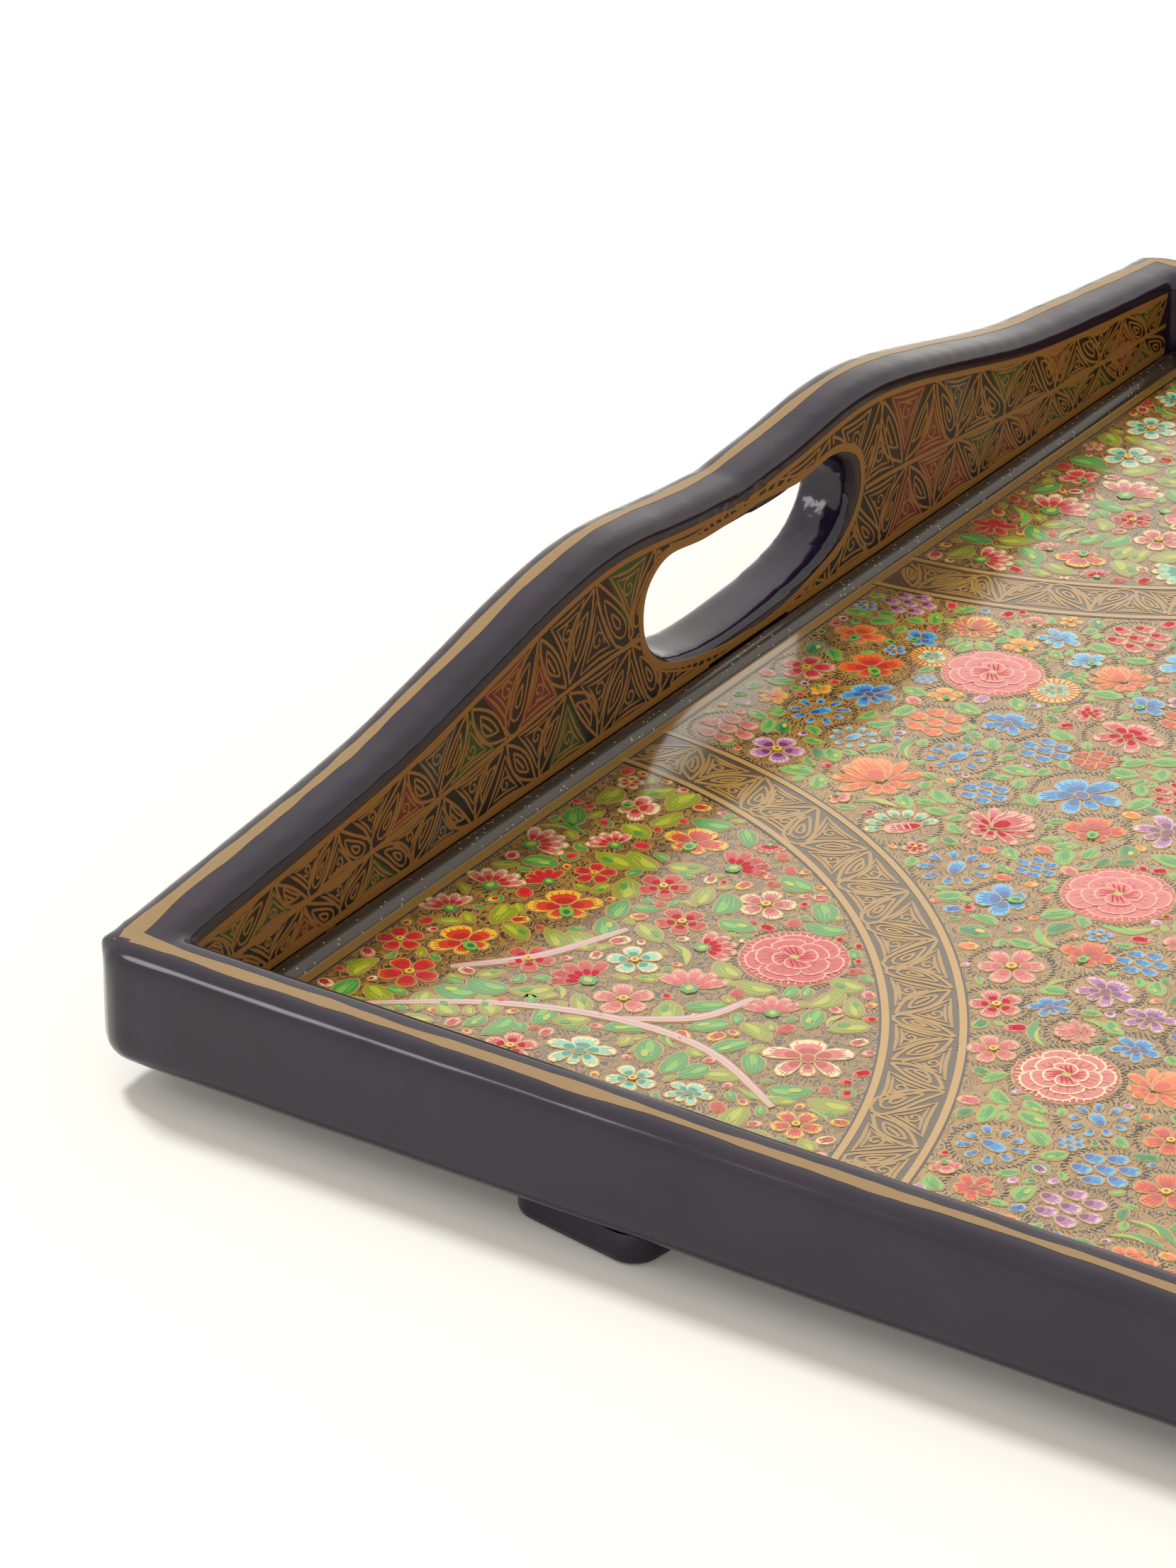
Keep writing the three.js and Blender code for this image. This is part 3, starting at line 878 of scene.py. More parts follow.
class Painter:
    """Draws every motif of the painted panel, and remembers what room is taken.

    Every flower has the same five values: centre, radius, tones (tip, middle and base), board and facing.
    """

    def __init__(self, place):
        self.random = random.Random(20)
        self.canvas = {name: Canvas(f"painted_{name}", place) for name in BOARDS}
        self.outlines = self.canvas["outlines"]
        self.cells = {}

    def is_free(self, circles, gap):
        for centre, radius in circles:
            reach = radius + gap
            low, high = (
                [int((v + side * (reach + ROOM_CELL)) // ROOM_CELL) for v in (centre.real, centre.imag)]
                for side in (-1, 1)
            )
            for i in range(low[0], high[0] + 1):
                for j in range(low[1], high[1] + 1):
                    for other, size in self.cells.get((i, j), ()):
                        if abs(other - centre) < reach + size:
                            return False
        return True

    def take(self, circles):
        for centre, radius in circles:
            if radius > ROOM_CELL:
                inner = radius - ROOM_CELL
                ring = round_angles(int(math.tau * inner / ROOM_CELL) + 6)
                self.take([(centre + inner * turn(a), ROOM_CELL) for a in ring])
                self.take([(centre, ROOM_CELL)])
                continue
            key = (int(centre.real // ROOM_CELL), int(centre.imag // ROOM_CELL))
            self.cells.setdefault(key, []).append((centre, radius))

    def fringe(self, centre, radius):
        """A ring of fine black dashes round a motif."""
        for a in round_angles(int(math.tau * radius / FRINGE_PITCH)):
            near = centre + (radius + 0.05 + 0.2 * self.random.random()) * turn(a)
            far = centre + (radius + 0.75 + 0.35 * self.random.random()) * turn(a + 0.45 / radius)
            self.outlines.line([near, far], 0.2, "gold", "black")

    def petal(
        self, board, centre, angle, inner, outer, width, tones, coat=FIRST_COAT, swirl=0.0, edge="gold_line",
    ):
        """One separate petal: light at its tip and deeper at its base, with brush streaks between."""
        canvas = self.canvas[board]
        light, mid, deep = tones
        length = outer - inner
        first = coat == FIRST_COAT
        rim = GOLD_EDGE if first else THIN_EDGE

        def film(surface, level, paint, low, high, across, count, share):
            shape = petal_shape(centre, angle, low, high, across, count, swirl * share)
            surface.film(shape, COATS[level], paint)

        edge_canvas = self.outlines if first else canvas
        film(edge_canvas, coat - 1, edge, inner - rim, outer + rim, width + 2 * rim, 10, 1)
        film(canvas, coat, light, inner, outer, width, 10, 1)
        film(canvas, coat + 1, mid, inner + 0.02 * length, inner + 0.74 * length, 0.80 * width, 9, 0.8)
        if length > PETAL_DEEP_FROM:
            film(canvas, coat + 2, deep, inner + 0.04 * length, inner + 0.46 * length, 0.56 * width, 7, 0.5)
        if length > PETAL_STREAKS_FROM:
            for offset in (-0.27, -0.09, 0.09, 0.27):
                low = complex(inner + length * 0.52, offset * width * 0.8)
                high = complex(inner + length * self.random.uniform(0.76, 0.9), offset * width * 1.1)
                path = [centre + turn(angle + swirl * 0.6) * low, centre + turn(angle + swirl * 0.9) * high]
                canvas.line(path, STREAK, COATS[coat + 2], mid)

    def petals(self, centre, radius, tones, board, facing, rows, swirl=0.0, **look):
        """Petals one after another: each row is a turn, the inner and outer reach and the width, in radii."""
        for turned, inner, outer, width in rows:
            self.petal(
                board, centre, facing + turned, radius * inner, radius * outer, radius * width, tones,
                swirl=math.copysign(swirl, turned), **look,
            )

    def rosette(self, centre, radius, tones, board, facing):
        """Separate petals all the way round."""
        count = 5 if radius < 5.5 else 6
        width = min(0.92 * math.tau * radius * 0.66 / count - 0.35, radius * 0.9)
        for angle in round_angles(count, facing):
            reach = radius * self.random.uniform(0.9, 1.0)
            self.petal(board, centre, angle, radius * 0.22, reach, width, tones)
        size = radius * 0.17
        self.canvas[board].film(disc(centre, size, 8), "eye", "yellow")
        if size > 0.6:
            self.canvas[board].film(disc(centre, size * 0.45, 6), "pupil", "gold_brown")

    def cluster(self, centre, radius, tones, board, facing):
        """Seven plump berries or petals, one in the middle."""
        size = radius * 0.31
        for spot in [centre] + [centre + radius * 0.68 * turn(a) for a in round_angles(6, facing)]:
            tilt = self.random.uniform(-0.4, 0.4)
            self.petal(board, spot, tilt, -size * 1.05, size * 1.05, size * 1.7, tones)

    def pansy(self, centre, radius, tones, board, facing):
        """Two wings and a lip, two small petals above, and a green eye."""
        self.petals(centre, radius, tones, board, facing, PANSY_WINGS)
        self.petals(centre, radius, tones, board, facing, PANSY_LIP, coat=7)
        for away, a, b, count, level, tone in (
            (0.28, 0.26, 0.2, 8, "eye", "green_light"), (0.30, 0.13, 0.1, 7, "pupil", "green_dark"),
        ):
            shape = ellipse(centre - turn(facing) * radius * away, radius * a, radius * b, facing, count)
            self.canvas[board].film(shape, level, tone)

    def lotus(self, centre, radius, tones, board, facing):
        """A round bowl of petals with narrow ones spreading below it."""
        foot = centre - turn(facing) * radius * 0.28
        self.petals(foot, radius, tones, board, facing, LOTUS_SKIRT + LOTUS_FOOT)
        self.petals(foot, radius, tones, board, facing, LOTUS_BOWL, coat=7)
        self.petals(foot, radius, tones, board, facing, LOTUS_FRONT, coat=11)

    def trumpet(self, centre, radius, tones, board, facing):
        """Five uneven petals, a broad one in front, with a curled heart."""
        self.petals(centre, radius, tones, board, facing, TRUMPET_SIDES, swirl=0.25)
        self.petals(centre, radius, tones, board, facing, TRUMPET_MIDDLE)
        for a, b, level, tone in ((0.22, 0.18, "crown", "gold_line"), (0.17, 0.14, "crest", tones[2])):
            self.canvas[board].film(ellipse(centre, radius * a, radius * b, facing, 9), level, tone)

    def drops(self, centre, radius, tones, board, facing):
        """A fat drop in the middle, and small drops flying out from it."""
        self.petals(centre, radius, tones, board, facing, FAT_DROP)
        for k in range(9):
            far = radius * self.random.uniform(0.86, 1.02)
            angle = facing + (k + 0.5) * math.tau / 9
            self.petal(board, centre, angle, radius * (0.56 if k % 2 else 0.50), far, radius * 0.26, tones)

    def fan(self, centre, radius, tones, board, facing):
        """A half-open flower: petals in a fan above a green cup."""
        foot = centre - turn(facing) * radius * 0.45
        self.petals(foot, radius, tones, board, facing, FAN_PETALS)
        for down, length, width, count, level, tone in (
            (0.35, 0.72, 0.62, 5, "crown", "green"), (0.18, 0.42, 0.3, 4, "crest", "olive_light"),
        ):
            base = foot - turn(facing) * radius * down
            shape = leaf_shape(base, facing, radius * length, radius * width, 0, count)
            self.canvas["leaves"].film(shape, level, tone)

    def crowned(self, centre, radius, tones, board, facing):
        """A bowl with a crown of small pale petals."""
        foot = centre - turn(facing) * radius * 0.2
        self.petals(foot, radius, PALE_TONES, "pale_flowers", facing, CROWN_PETALS)
        self.petals(foot, radius, tones, board, facing, CROWN_BOWL)
        for offset in (-0.2, 0.0, 0.2):
            start = foot + turn(facing) * complex(-0.18 * radius, offset * radius)
            self.canvas[board].line([start, start + turn(facing) * radius * 0.4], 0.3, "top", tones[0])

    def serrated(self, centre, radius, tones, board, facing):
        """Pale petals on a toothed collar."""
        canvas = self.canvas[board]
        canvas.film(wavy_disc(centre, radius + 0.2, 2, 0.05, 30, facing), "gold", "gold_line")
        canvas.film(wavy_disc(centre, radius, 2, 0.05, 30, facing), "stem", tones[0])
        for a in round_angles(24):
            path = [centre + turn(a) * radius * reach for reach in (0.66, 1.0)]
            canvas.line(path, 0.34, "base", "red")
        canvas.film(wavy_disc(centre, radius * 0.72, 2, 0.05, 20, facing), "base", "gold_line")
        self.petals(centre, radius, PALE_TONES, "pale_flowers", facing, STAR_PETALS, coat=4, edge="gold")

    def rose(self, centre, radius, tones):
        """A many-petalled rose: tones run from its pale edges to its deep heart."""
        rng = self.random
        canvas = self.canvas["roses"]
        pale, light, mid, deep = tones
        self.outlines.film(wavy_disc(centre, radius + 0.35, 16, 0.015, 48), "gold", "gold_line")
        self.fringe(centre, radius + 0.4)
        canvas.film(wavy_disc(centre, radius, 22, 0.02, 66), "stem", mid)
        for a in round_angles(44):
            path = [centre + turn(a) * radius * reach for reach in (0.80, 0.97)]
            canvas.line(path, 0.26, "base", pale)
        start = rng.uniform(0, math.tau)
        lift = ROSE_STEP
        for ring, (count, inner, outer, across, swirl) in enumerate(ROSE_RINGS):
            for k in range(count):
                angle = start + (k + 0.5 * ring) * math.tau / count
                near, far, width = radius * inner, radius * outer * rng.uniform(0.94, 1.03), radius * across
                length = far - near
                for step, (low, high, wide, points, turned, tone) in enumerate((
                    (near, far, width, 12, swirl, pale),
                    (near + 0.15, far - 0.36, width - 0.66, 11, swirl, light),
                    (near + 0.1, near + length * 0.56, width * 0.55, 9, swirl * 0.6, mid),
                )):
                    shape = petal_shape(centre, angle, low, high, wide, points, turned)
                    canvas.film(shape, "shade", tone, lift + step * ROSE_STEP)
                for offset in (-0.25, 0.0, 0.25):
                    low = complex(near + length * 0.2, offset * width * 0.5)
                    high = complex(near + length * rng.uniform(0.66, 0.82), offset * width * 0.8)
                    ends = ((low, 0.2), (high, 0.7))
                    path = [centre + turn(angle + swirl * share) * p for p, share in ends]
                    canvas.line(path, 0.24, "shade", deep if ring > 1 else mid, lift=lift + 3 * ROSE_STEP)
                lift += 4 * ROSE_STEP
        heart = ellipse(centre, radius * 0.09, radius * 0.07, 0, 9)
        canvas.film(heart, "shade", "olive_light", lift + ROSE_STEP)

    def leaf(self, base, angle, length, width, dark_ground):
        """A full leaf: light, with a deeper heart on one side and a yellow touch."""
        rng = self.random
        canvas = self.canvas["leaves"]
        along = turn(angle)
        bend = rng.uniform(-0.14, 0.14)
        common, rare, share = DARK_LEAVES if dark_ground else LIGHT_LEAVES
        body, heart, touch = common if rng.random() < share else rare
        grown = leaf_shape(base - along * 0.3, angle, length + 0.6, width + 0.6, bend, 7)
        self.outlines.film(grown, "gold", "gold_line")
        canvas.film(leaf_shape(base, angle, length, width, bend, 7), "base", body)
        side = rng.choice((-1, 1))
        if length > LEAF_HEART_FROM:
            start = base + along * length * 0.06
            shape = leaf_shape(start, angle, length * 0.56, width * 0.36, bend, 5, 0.19 * side)
            canvas.film(shape, "shade", heart)
        if length > LEAF_STREAKS_FROM:
            for across in (-0.26, -0.04, 0.2):
                reach = length * rng.uniform(0.68, 0.84)
                near = base + along * complex(length * 0.3, (bend * 0.8 * length + across * width))
                far = base + along * complex(reach, (bend * 0.6 * length + across * 0.7 * width))
                canvas.line([near, far], STREAK, "shade", heart)
        if length > LEAF_TOUCH_FROM and rng.random() < 0.45:
            spot = base + along * complex(length * 0.6, (bend * 0.9 * length) - 0.14 * side * width)
            canvas.film(ellipse(spot, length * 0.16, width * 0.15, angle, 7), "detail", touch)

    def blade(self, base, angle, length, bend, width):
        """A long curved leaf."""
        tone = self.random.choice(("green_light", "green_light", "green", "olive_light"))
        other = "olive_light" if tone != "olive_light" else "green"
        canvas = self.canvas["stems"]
        grown = leaf_shape(base - turn(angle) * 0.2, angle, length + 0.4, width + 0.5, bend, 9, 0, 0.8)
        self.outlines.film(grown, "gold", "gold_line")
        canvas.film(leaf_shape(base, angle, length, width, bend, 9, 0, 0.8), "stem", tone)
        canvas.film(leaf_shape(base, angle, length * 0.7, width * 0.4, bend, 7, 0.1, 0.8), "base", other)

    def bud(self, centre, size, angle, tones, held):
        """A bud or a berry; a held one lies in a ring of green."""
        along = turn(angle)
        canvas = self.canvas["buds"]

        def oval(grown, across, count=9, back=0.0):
            return ellipse(centre - along * size * back, grown, across, angle, count)

        if held:
            for surface, back, length, width, level, tone in (
                (self.canvas["leaves"], 1.7, 3.1, 2.3, "stem", "green"),
                (self.outlines, 1.9, 3.5, 2.7, "gold", "gold_line"),
            ):
                shape = leaf_shape(centre - along * size * back, angle, size * length, size * width, 0, 7)
                surface.film(shape, level, tone)
            canvas.film(oval(size * 1.08, size * 0.84), "base", "gold_line")
        else:
            self.outlines.film(oval(size + 0.25, size * 0.74 + 0.25), "gold", "gold_line")
        canvas.film(oval(size, size * 0.74), "shade", tones[0])
        canvas.film(oval(size * 0.62, size * 0.52, 8, 0.28), "detail", tones[1])
        if size > BUD_STREAKS_FROM:
            for offset in (-0.3, 0.0, 0.3):
                start = centre + along * complex(0.0, offset * size)
                canvas.line([start, start + along * size * 0.62], 0.2, "top", tones[1])


# ---------------------------------------------------------------- the design
CORNER_INNER = 106.5
CORNER_OUTER = 118.5
CORNER_STRETCH = 1.078
BORDER = SLIP_WIDTH + 2.6
# The bands' line work: gold rules at the edges, thin black ones beside them and a row between them
BAND_EDGE = SLIP_WIDTH + 1.2
BAND_RULE = 1.2
BAND_INSET = 1.0
BAND_PITCH = 7.6
BAND_HEAVY = 0.66
THIN_RULE = 0.35
THIN_RULE_GAP = 0.8
GROUND_LIFT = 0.12
GROUND_BASE = 0.02
CORNERS = [(sx, sy) for sx in (1, -1) for sy in (1, -1)]


def corner_distance(p):
    """How far a point is from the nearest inner corner, as the corner bands' ovals measure it."""
    return math.hypot(INNER_X - abs(p.real), (INNER_Y - abs(p.imag)) / CORNER_STRETCH)


def inside(p, radius, zone):
    if abs(p.real) > INNER_X - BORDER - radius or abs(p.imag) > INNER_Y - BORDER - radius:
        return False
    away = corner_distance(p)
    room = THIN_RULE_GAP + radius
    return away > CORNER_OUTER + room if zone == "field" else away < CORNER_INNER - room


# Colour families: tip, middle and base of a petal, and the piece of paint it belongs to
FLOWER_TONES = {
    "poppy": (("orange", "vermilion", "red"), "warm_flowers"),
    "orange": (("peach", "orange", "vermilion"), "warm_flowers"),
    "scarlet": (("vermilion", "red", "crimson"), "warm_flowers"),
    "pink": (("blush", "rose", "crimson"), "warm_flowers"),
    "blush": (("blush", "pink", "rose"), "warm_flowers"),
    "red_yellow": (("yellow", "vermilion", "red"), "warm_flowers"),
    "gold": (("yellow", "amber", "orange"), "warm_flowers"),
    "cream_red": (("cream", "pink", "red"), "pale_flowers"),
    "cream_teal": (PALE_TONES, "pale_flowers"),
    "lilac": (("lilac", "mauve", "plum"), "pale_flowers"),
    "blue": (("blue_light", "blue", "blue_dark"), "blue_flowers"),
    "ice": (("ice", "blue_light", "blue"), "blue_flowers"),
}
ROSE_TONES = {
    "pink": ("blush", "pink", "rose", "crimson"),
    "deep": ("blush", "rose", "red", "crimson"),
    "cream": ("cream", "pink", "red", "crimson"),
}

# The flowers that lead the design, in millimetres from the tray's left end and front side.
# Each is kind, colour family, distance along, distance across, radius.
LEADING = [
    ("rose", "pink", 55, 190, 9.0), ("rose", "pink", 113, 129, 9.2), ("rose", "cream", 134, 73, 8.2),
    ("rose", "deep", 79.6, 81.6, 8.8), ("trumpet", "cream_red", 98, 55.5, 7.4),
    ("pansy", "poppy", 36, 180, 6.0), ("pansy", "orange", 27, 190, 5.0),
    ("trumpet", "scarlet", 28, 221, 5.6), ("cluster", "lilac", 28, 207, 5.0),
    ("cluster", "scarlet", 19.5, 199, 4.0), ("pansy", "blue", 37, 217, 4.6),
    ("lotus", "red_yellow", 43, 205, 4.8), ("lotus", "pink", 50, 219, 5.8),
    ("cluster", "pink", 70, 217, 6.0), ("trumpet", "ice", 58, 209, 4.4), ("pansy", "ice", 67, 203.5, 3.8),
    ("pansy", "blue", 37, 195, 3.8), ("lotus", "orange", 75, 200.5, 5.6),
    ("pansy", "gold", 54, 202.5, 3.4), ("pansy", "gold", 52.5, 177.5, 3.2),
    ("serrated", "gold", 42.5, 190, 3.9), ("serrated", "gold", 67.5, 190, 4.6),
    ("cluster", "orange", 56, 167.5, 5.6), ("trumpet", "blue", 67, 174, 5.0),
    ("trumpet", "pink", 87, 181, 6.6), ("cluster", "blue", 77.5, 168.5, 4.8),
    ("drops", "blue", 66, 158, 5.6), ("lotus", "orange", 58, 144, 7.8), ("drops", "blue", 37, 160, 5.4),
    ("drops", "ice", 47, 154.5, 4.4), ("trumpet", "blue", 41, 170.5, 5.4),
    ("cluster", "ice", 57, 131.5, 4.8), ("crowned", "pink", 70.5, 131, 5.8),
    ("cluster", "blue", 76.5, 149, 4.4), ("trumpet", "blue", 91, 157, 7.8),
    ("lotus", "pink", 85, 140, 6.6), ("pansy", "poppy", 99, 146.5, 5.4),
    ("trumpet", "lilac", 109.5, 153, 6.4), ("pansy", "orange", 71.5, 120, 4.4),
    ("drops", "blue", 86, 122.5, 6.4), ("cluster", "blue", 97, 130, 3.8),
    ("lotus", "pink", 97.5, 105.5, 6.0), ("rosette", "blush", 110, 98.5, 5.8),
    ("pansy", "poppy", 118.5, 108, 4.8), ("cluster", "blue", 127, 111, 4.4),
    ("trumpet", "lilac", 126.5, 99.5, 5.2), ("trumpet", "lilac", 136.5, 95.5, 4.6),
    ("cluster", "blue", 101, 94.5, 3.4), ("trumpet", "blue", 121.5, 90.5, 3.6),
    ("pansy", "blue", 112.5, 77.5, 3.4), ("trumpet", "blue", 119.5, 64.5, 4.0),
    ("trumpet", "blue", 139, 86, 4.2), ("drops", "blue", 144.5, 64, 5.2),
    ("rosette", "pink", 114, 86.5, 4.6), ("rosette", "blush", 120.5, 74, 4.4),
    ("pansy", "orange", 125.5, 54.5, 5.2), ("lotus", "orange", 148, 78, 6.0),
    ("cluster", "blush", 22, 165, 4.6), ("trumpet", "blue", 22.5, 176, 4.4),
    ("cluster", "blush", 27, 145.5, 5.6), ("fan", "cream_red", 40.5, 137, 5.6),
    ("pansy", "ice", 22, 155.5, 3.6), ("cluster", "poppy", 93, 192, 5.2), ("pansy", "blue", 84, 193, 4.0),
    # in the corners
    ("rosette", "cream_teal", 58.5, 67, 4.8), ("trumpet", "cream_teal", 67, 38, 5.8),
    ("rosette", "cream_teal", 78.5, 35.5, 4.2), ("trumpet", "cream_teal", 88, 36.5, 4.0),
    ("fan", "blush", 70, 66, 4.8), ("fan", "blush", 85, 66, 4.0), ("pansy", "red_yellow", 39.5, 75.5, 6.4),
    ("pansy", "red_yellow", 32.5, 57, 6.0), ("rosette", "scarlet", 30.5, 44, 5.0),
    ("pansy", "red_yellow", 45, 106, 5.8), ("rosette", "scarlet", 49, 90.5, 4.6),
    ("fan", "cream_red", 23.5, 92.5, 4.6), ("fan", "cream_red", 24.5, 77, 4.4),
    ("fan", "cream_red", 22.5, 66, 3.8), ("rosette", "scarlet", 58, 82, 4.6),
    ("fan", "scarlet", 56, 104, 4.6), ("rosette", "scarlet", 44, 58, 4.4),
    ("rosette", "scarlet", 23, 52, 4.2), ("rosette", "scarlet", 37, 88, 3.8),
    ("fan", "cream_red", 33, 99, 3.6), ("pansy", "red_yellow", 22, 106, 4.6),
    # farther along the left end and round the middle
    ("rosette", "cream_teal", 27, 303, 5.6), ("rosette", "cream_teal", 30, 288, 5.4),
    ("trumpet", "cream_teal", 24, 318, 4.0), ("fan", "cream_red", 30, 260, 5.8),
    ("fan", "cream_red", 38, 274, 5.4), ("rosette", "cream_red", 53, 257, 5.0),
    ("trumpet", "scarlet", 24, 245, 4.6), ("rose", "pink", 212, 118, 9.2), ("rose", "deep", 195, 205, 8.8),
    ("rose", "cream", 150, 175, 8.4), ("rose", "pink", 160, 250, 8.8), ("rose", "cream", 205, 290, 8.2),
    ("rose", "deep", 185, 55, 8.6), ("rose", "deep", 74, 268, 8.4), ("rose", "cream", 102, 296, 7.8),
    ("rose", "pink", 112, 222, 8.8),
]
# Pale branches in the corners, in millimetres from the nearest inner corner
BRANCHES = [
    [(17, 20), (35, 32), (54, 38.5), (72, 38), (89, 29)],
    [(54, 38.5), (65, 46), (69, 56)],
    [(23, 38), (33, 49), (40, 64)],
]
# Each coat of a branch: board, width, level, paint, taper and how far it lies towards the back
BRANCH_COATS = (
    ("outlines", 2.6, "dark", "gold_brown", 0.4, 0.0), ("outlines", 2.3, "gold", "gold_line", 0.4, 0.0),
    ("stems", 1.8, "detail", "bark", 0.45, 0.0), ("stems", 0.45, "top", "lilac", 0.7, 0.3),
)


def draw_flower(painter, kind, family, p, radius, facing):
    tones, board = FLOWER_TONES[family]
    getattr(painter, kind)(p, radius, tones, board, facing)


def paint_leading(painter):
    for kind, family, along, across, radius in LEADING:
        for side in (1, -1):
            p = complex(side * (along - HALF_LENGTH), across - HALF_WIDTH)
            zone = "field" if corner_distance(p) > CORNER_OUTER else "corner"
            if not inside(p, radius * 0.8, zone) or not painter.is_free([(p, radius * 0.7)], 0):
                continue
            # Flowers face the back of the tray, each turned a little its own way.
            facing = math.pi * 0.55 + painter.random.uniform(-0.9, 0.9)
            if kind == "rose":
                painter.rose(p, radius, ROSE_TONES[family])
            else:
                draw_flower(painter, kind, family, p, radius, facing)
                if zone == "field":
                    painter.fringe(p, radius + 0.5)
            painter.take([(p, radius * (0.95 if kind == "cluster" else 1.0))])


def paint_branches(painter):
    for sx, sy in CORNERS:
        for branch in BRANCHES:
            points = [(sx * (INNER_X - a), sy * (INNER_Y - b)) for a, b in branch]
            path = [complex(*p) for p in spline(points, 5)]
            for board, width, level, paint, taper, back in BRANCH_COATS:
                painter.canvas[board].line([p + back * 1j for p in path], width, level, paint, taper=taper)
            painter.take([(p, 0.8) for p in path[::2]])


# Colour families and how often each is drawn
FIELD_MIX = {
    "orange": 4, "poppy": 4, "pink": 6, "blush": 6, "blue": 9, "ice": 3,
    "lilac": 4, "gold": 3, "cream_teal": 1, "red_yellow": 1,
}
CORNER_MIX = {"red_yellow": 3, "cream_red": 5, "scarlet": 6, "pink": 4, "cream_teal": 2, "blush": 2}
FIELD_KINDS = ("pansy", "trumpet", "lotus", "cluster", "cluster", "drops", "rosette", "trumpet")
CORNER_KINDS = ("fan", "fan", "rosette", "pansy", "rosette")
FIELD_BUDS = [
    ("pink", "crimson"), ("blush", "rose"), ("lilac", "plum"), ("yellow", "orange"),
    ("blue_light", "blue_dark"), ("peach", "vermilion"), ("lilac", "mauve"), ("green_light", "green_dark"),
]
CORNER_BUDS = [
    ("vermilion", "crimson"), ("blush", "red"), ("cream", "red"), ("yellow", "red"), ("vermilion", "red"),
]


def scatter(painter, zone, draw, attempts, sizes, gap, room_of):
    """Tries random places and draws where there is room; room_of gives the circles that are taken."""
    rng = painter.random
    for _ in range(attempts):
        if zone == "field":
            p = complex(rng.uniform(-INNER_X, INNER_X), rng.uniform(-INNER_Y, INNER_Y))
        else:
            along = INNER_X - rng.uniform(0, CORNER_INNER)
            across = INNER_Y - rng.uniform(0, CORNER_INNER * CORNER_STRETCH)
            p = complex(rng.choice((-1, 1)) * along, rng.choice((-1, 1)) * across)
        size = rng.uniform(*sizes)
        if not inside(p, size, zone):
            continue
        angle = rng.uniform(0, math.tau)
        room = room_of(p, size, angle)
        if painter.is_free(room, gap):
            painter.take(room)
            draw(p, size, angle)


def fill_zone(painter, zone):
    rng = painter.random
    field = zone == "field"
    mix = FIELD_MIX if field else CORNER_MIX
    kinds = FIELD_KINDS if field else CORNER_KINDS
    small_kinds = ("cluster", "rosette", "pansy") if field else ("rosette", "fan")
    buds = FIELD_BUDS if field else CORNER_BUDS

    def family():
        return rng.choices(list(mix), list(mix.values()))[0]

    def blossom(p, size, angle):
        draw_flower(painter, rng.choice(kinds), family(), p, size, angle)
        if field and size > 3.6:
            painter.fringe(p, size + 0.4)

    def small(p, size, angle):
        colours = family()
        draw_flower(painter, rng.choice(small_kinds), colours, p, size, angle)

    def leaf(p, size, angle):
        painter.leaf(p - turn(angle) * size, angle, size * 2, size * rng.uniform(0.9, 1.3), not field)

    def blade(p, size, angle):
        painter.blade(p - turn(angle) * size, angle, size * 2, 0.19, size * 0.34)

    def bud(p, size, angle):
        painter.bud(p, size, angle, rng.choice(buds), held=False)

    def held_bud(p, size, angle):
        painter.bud(p, size * 0.55, angle, rng.choice(buds), held=True)

    def round_room(p, size, angle):
        return [(p, size)]

    def leaf_room(p, size, angle):
        return [(p + turn(angle) * size * t, size * 0.44) for t in (-0.5, 0.0, 0.5)]

    def blade_room(p, size, angle):
        return [(p + turn(angle) * complex(size * t, 0.35 * size * (1 - t * t)), size * 0.16)
                for t in (-0.8, -0.4, 0.0, 0.4, 0.8)]

    rooms = {leaf: leaf_room, blade: blade_room}
    # Each round: what is drawn, attempts, sizes and the gap to its neighbours
    rounds = [] if field else [(blossom, 1500, (4.0, 5.2), 0.3), (leaf, 5000, (3.2, 4.0), 0.1)]
    rounds += [
        (blossom, 2600, (4.4, 6.2), 0.3 if field else 0.1),
        (blade, 1500, (3.6, 5.0), 0.15),
        (blossom, 5200, (3.0, 3.9), 0.3 if field else 0.15),
        (leaf, 12000, (2.2, 3.1) if field else (3.0, 3.9), 0.1),
        (held_bud, 2500, (1.9, 2.5), 0.15),
        (small, 9000, (2.1, 2.6), 0.2),
        (bud, 12000, (1.3, 1.8), 0.2),
        (leaf, 26000, (1.5, 2.4), 0.1),
        (blade, 6000, (2.2, 3.4), 0.1),
        (bud, 20000, (0.75, 1.15), 0.2),
        (leaf, 16000, (1.0, 1.5), 0.1),
    ]
    for draw, attempts, sizes, gap in rounds:
        scatter(painter, zone, draw, attempts, sizes, gap, rooms.get(draw, round_room))


# ---------------------------------------------------------------- line work on the bands and walls
ARC_STEPS = (0.0, 0.16, 0.33, 0.5, 0.67, 0.84, 1.0)


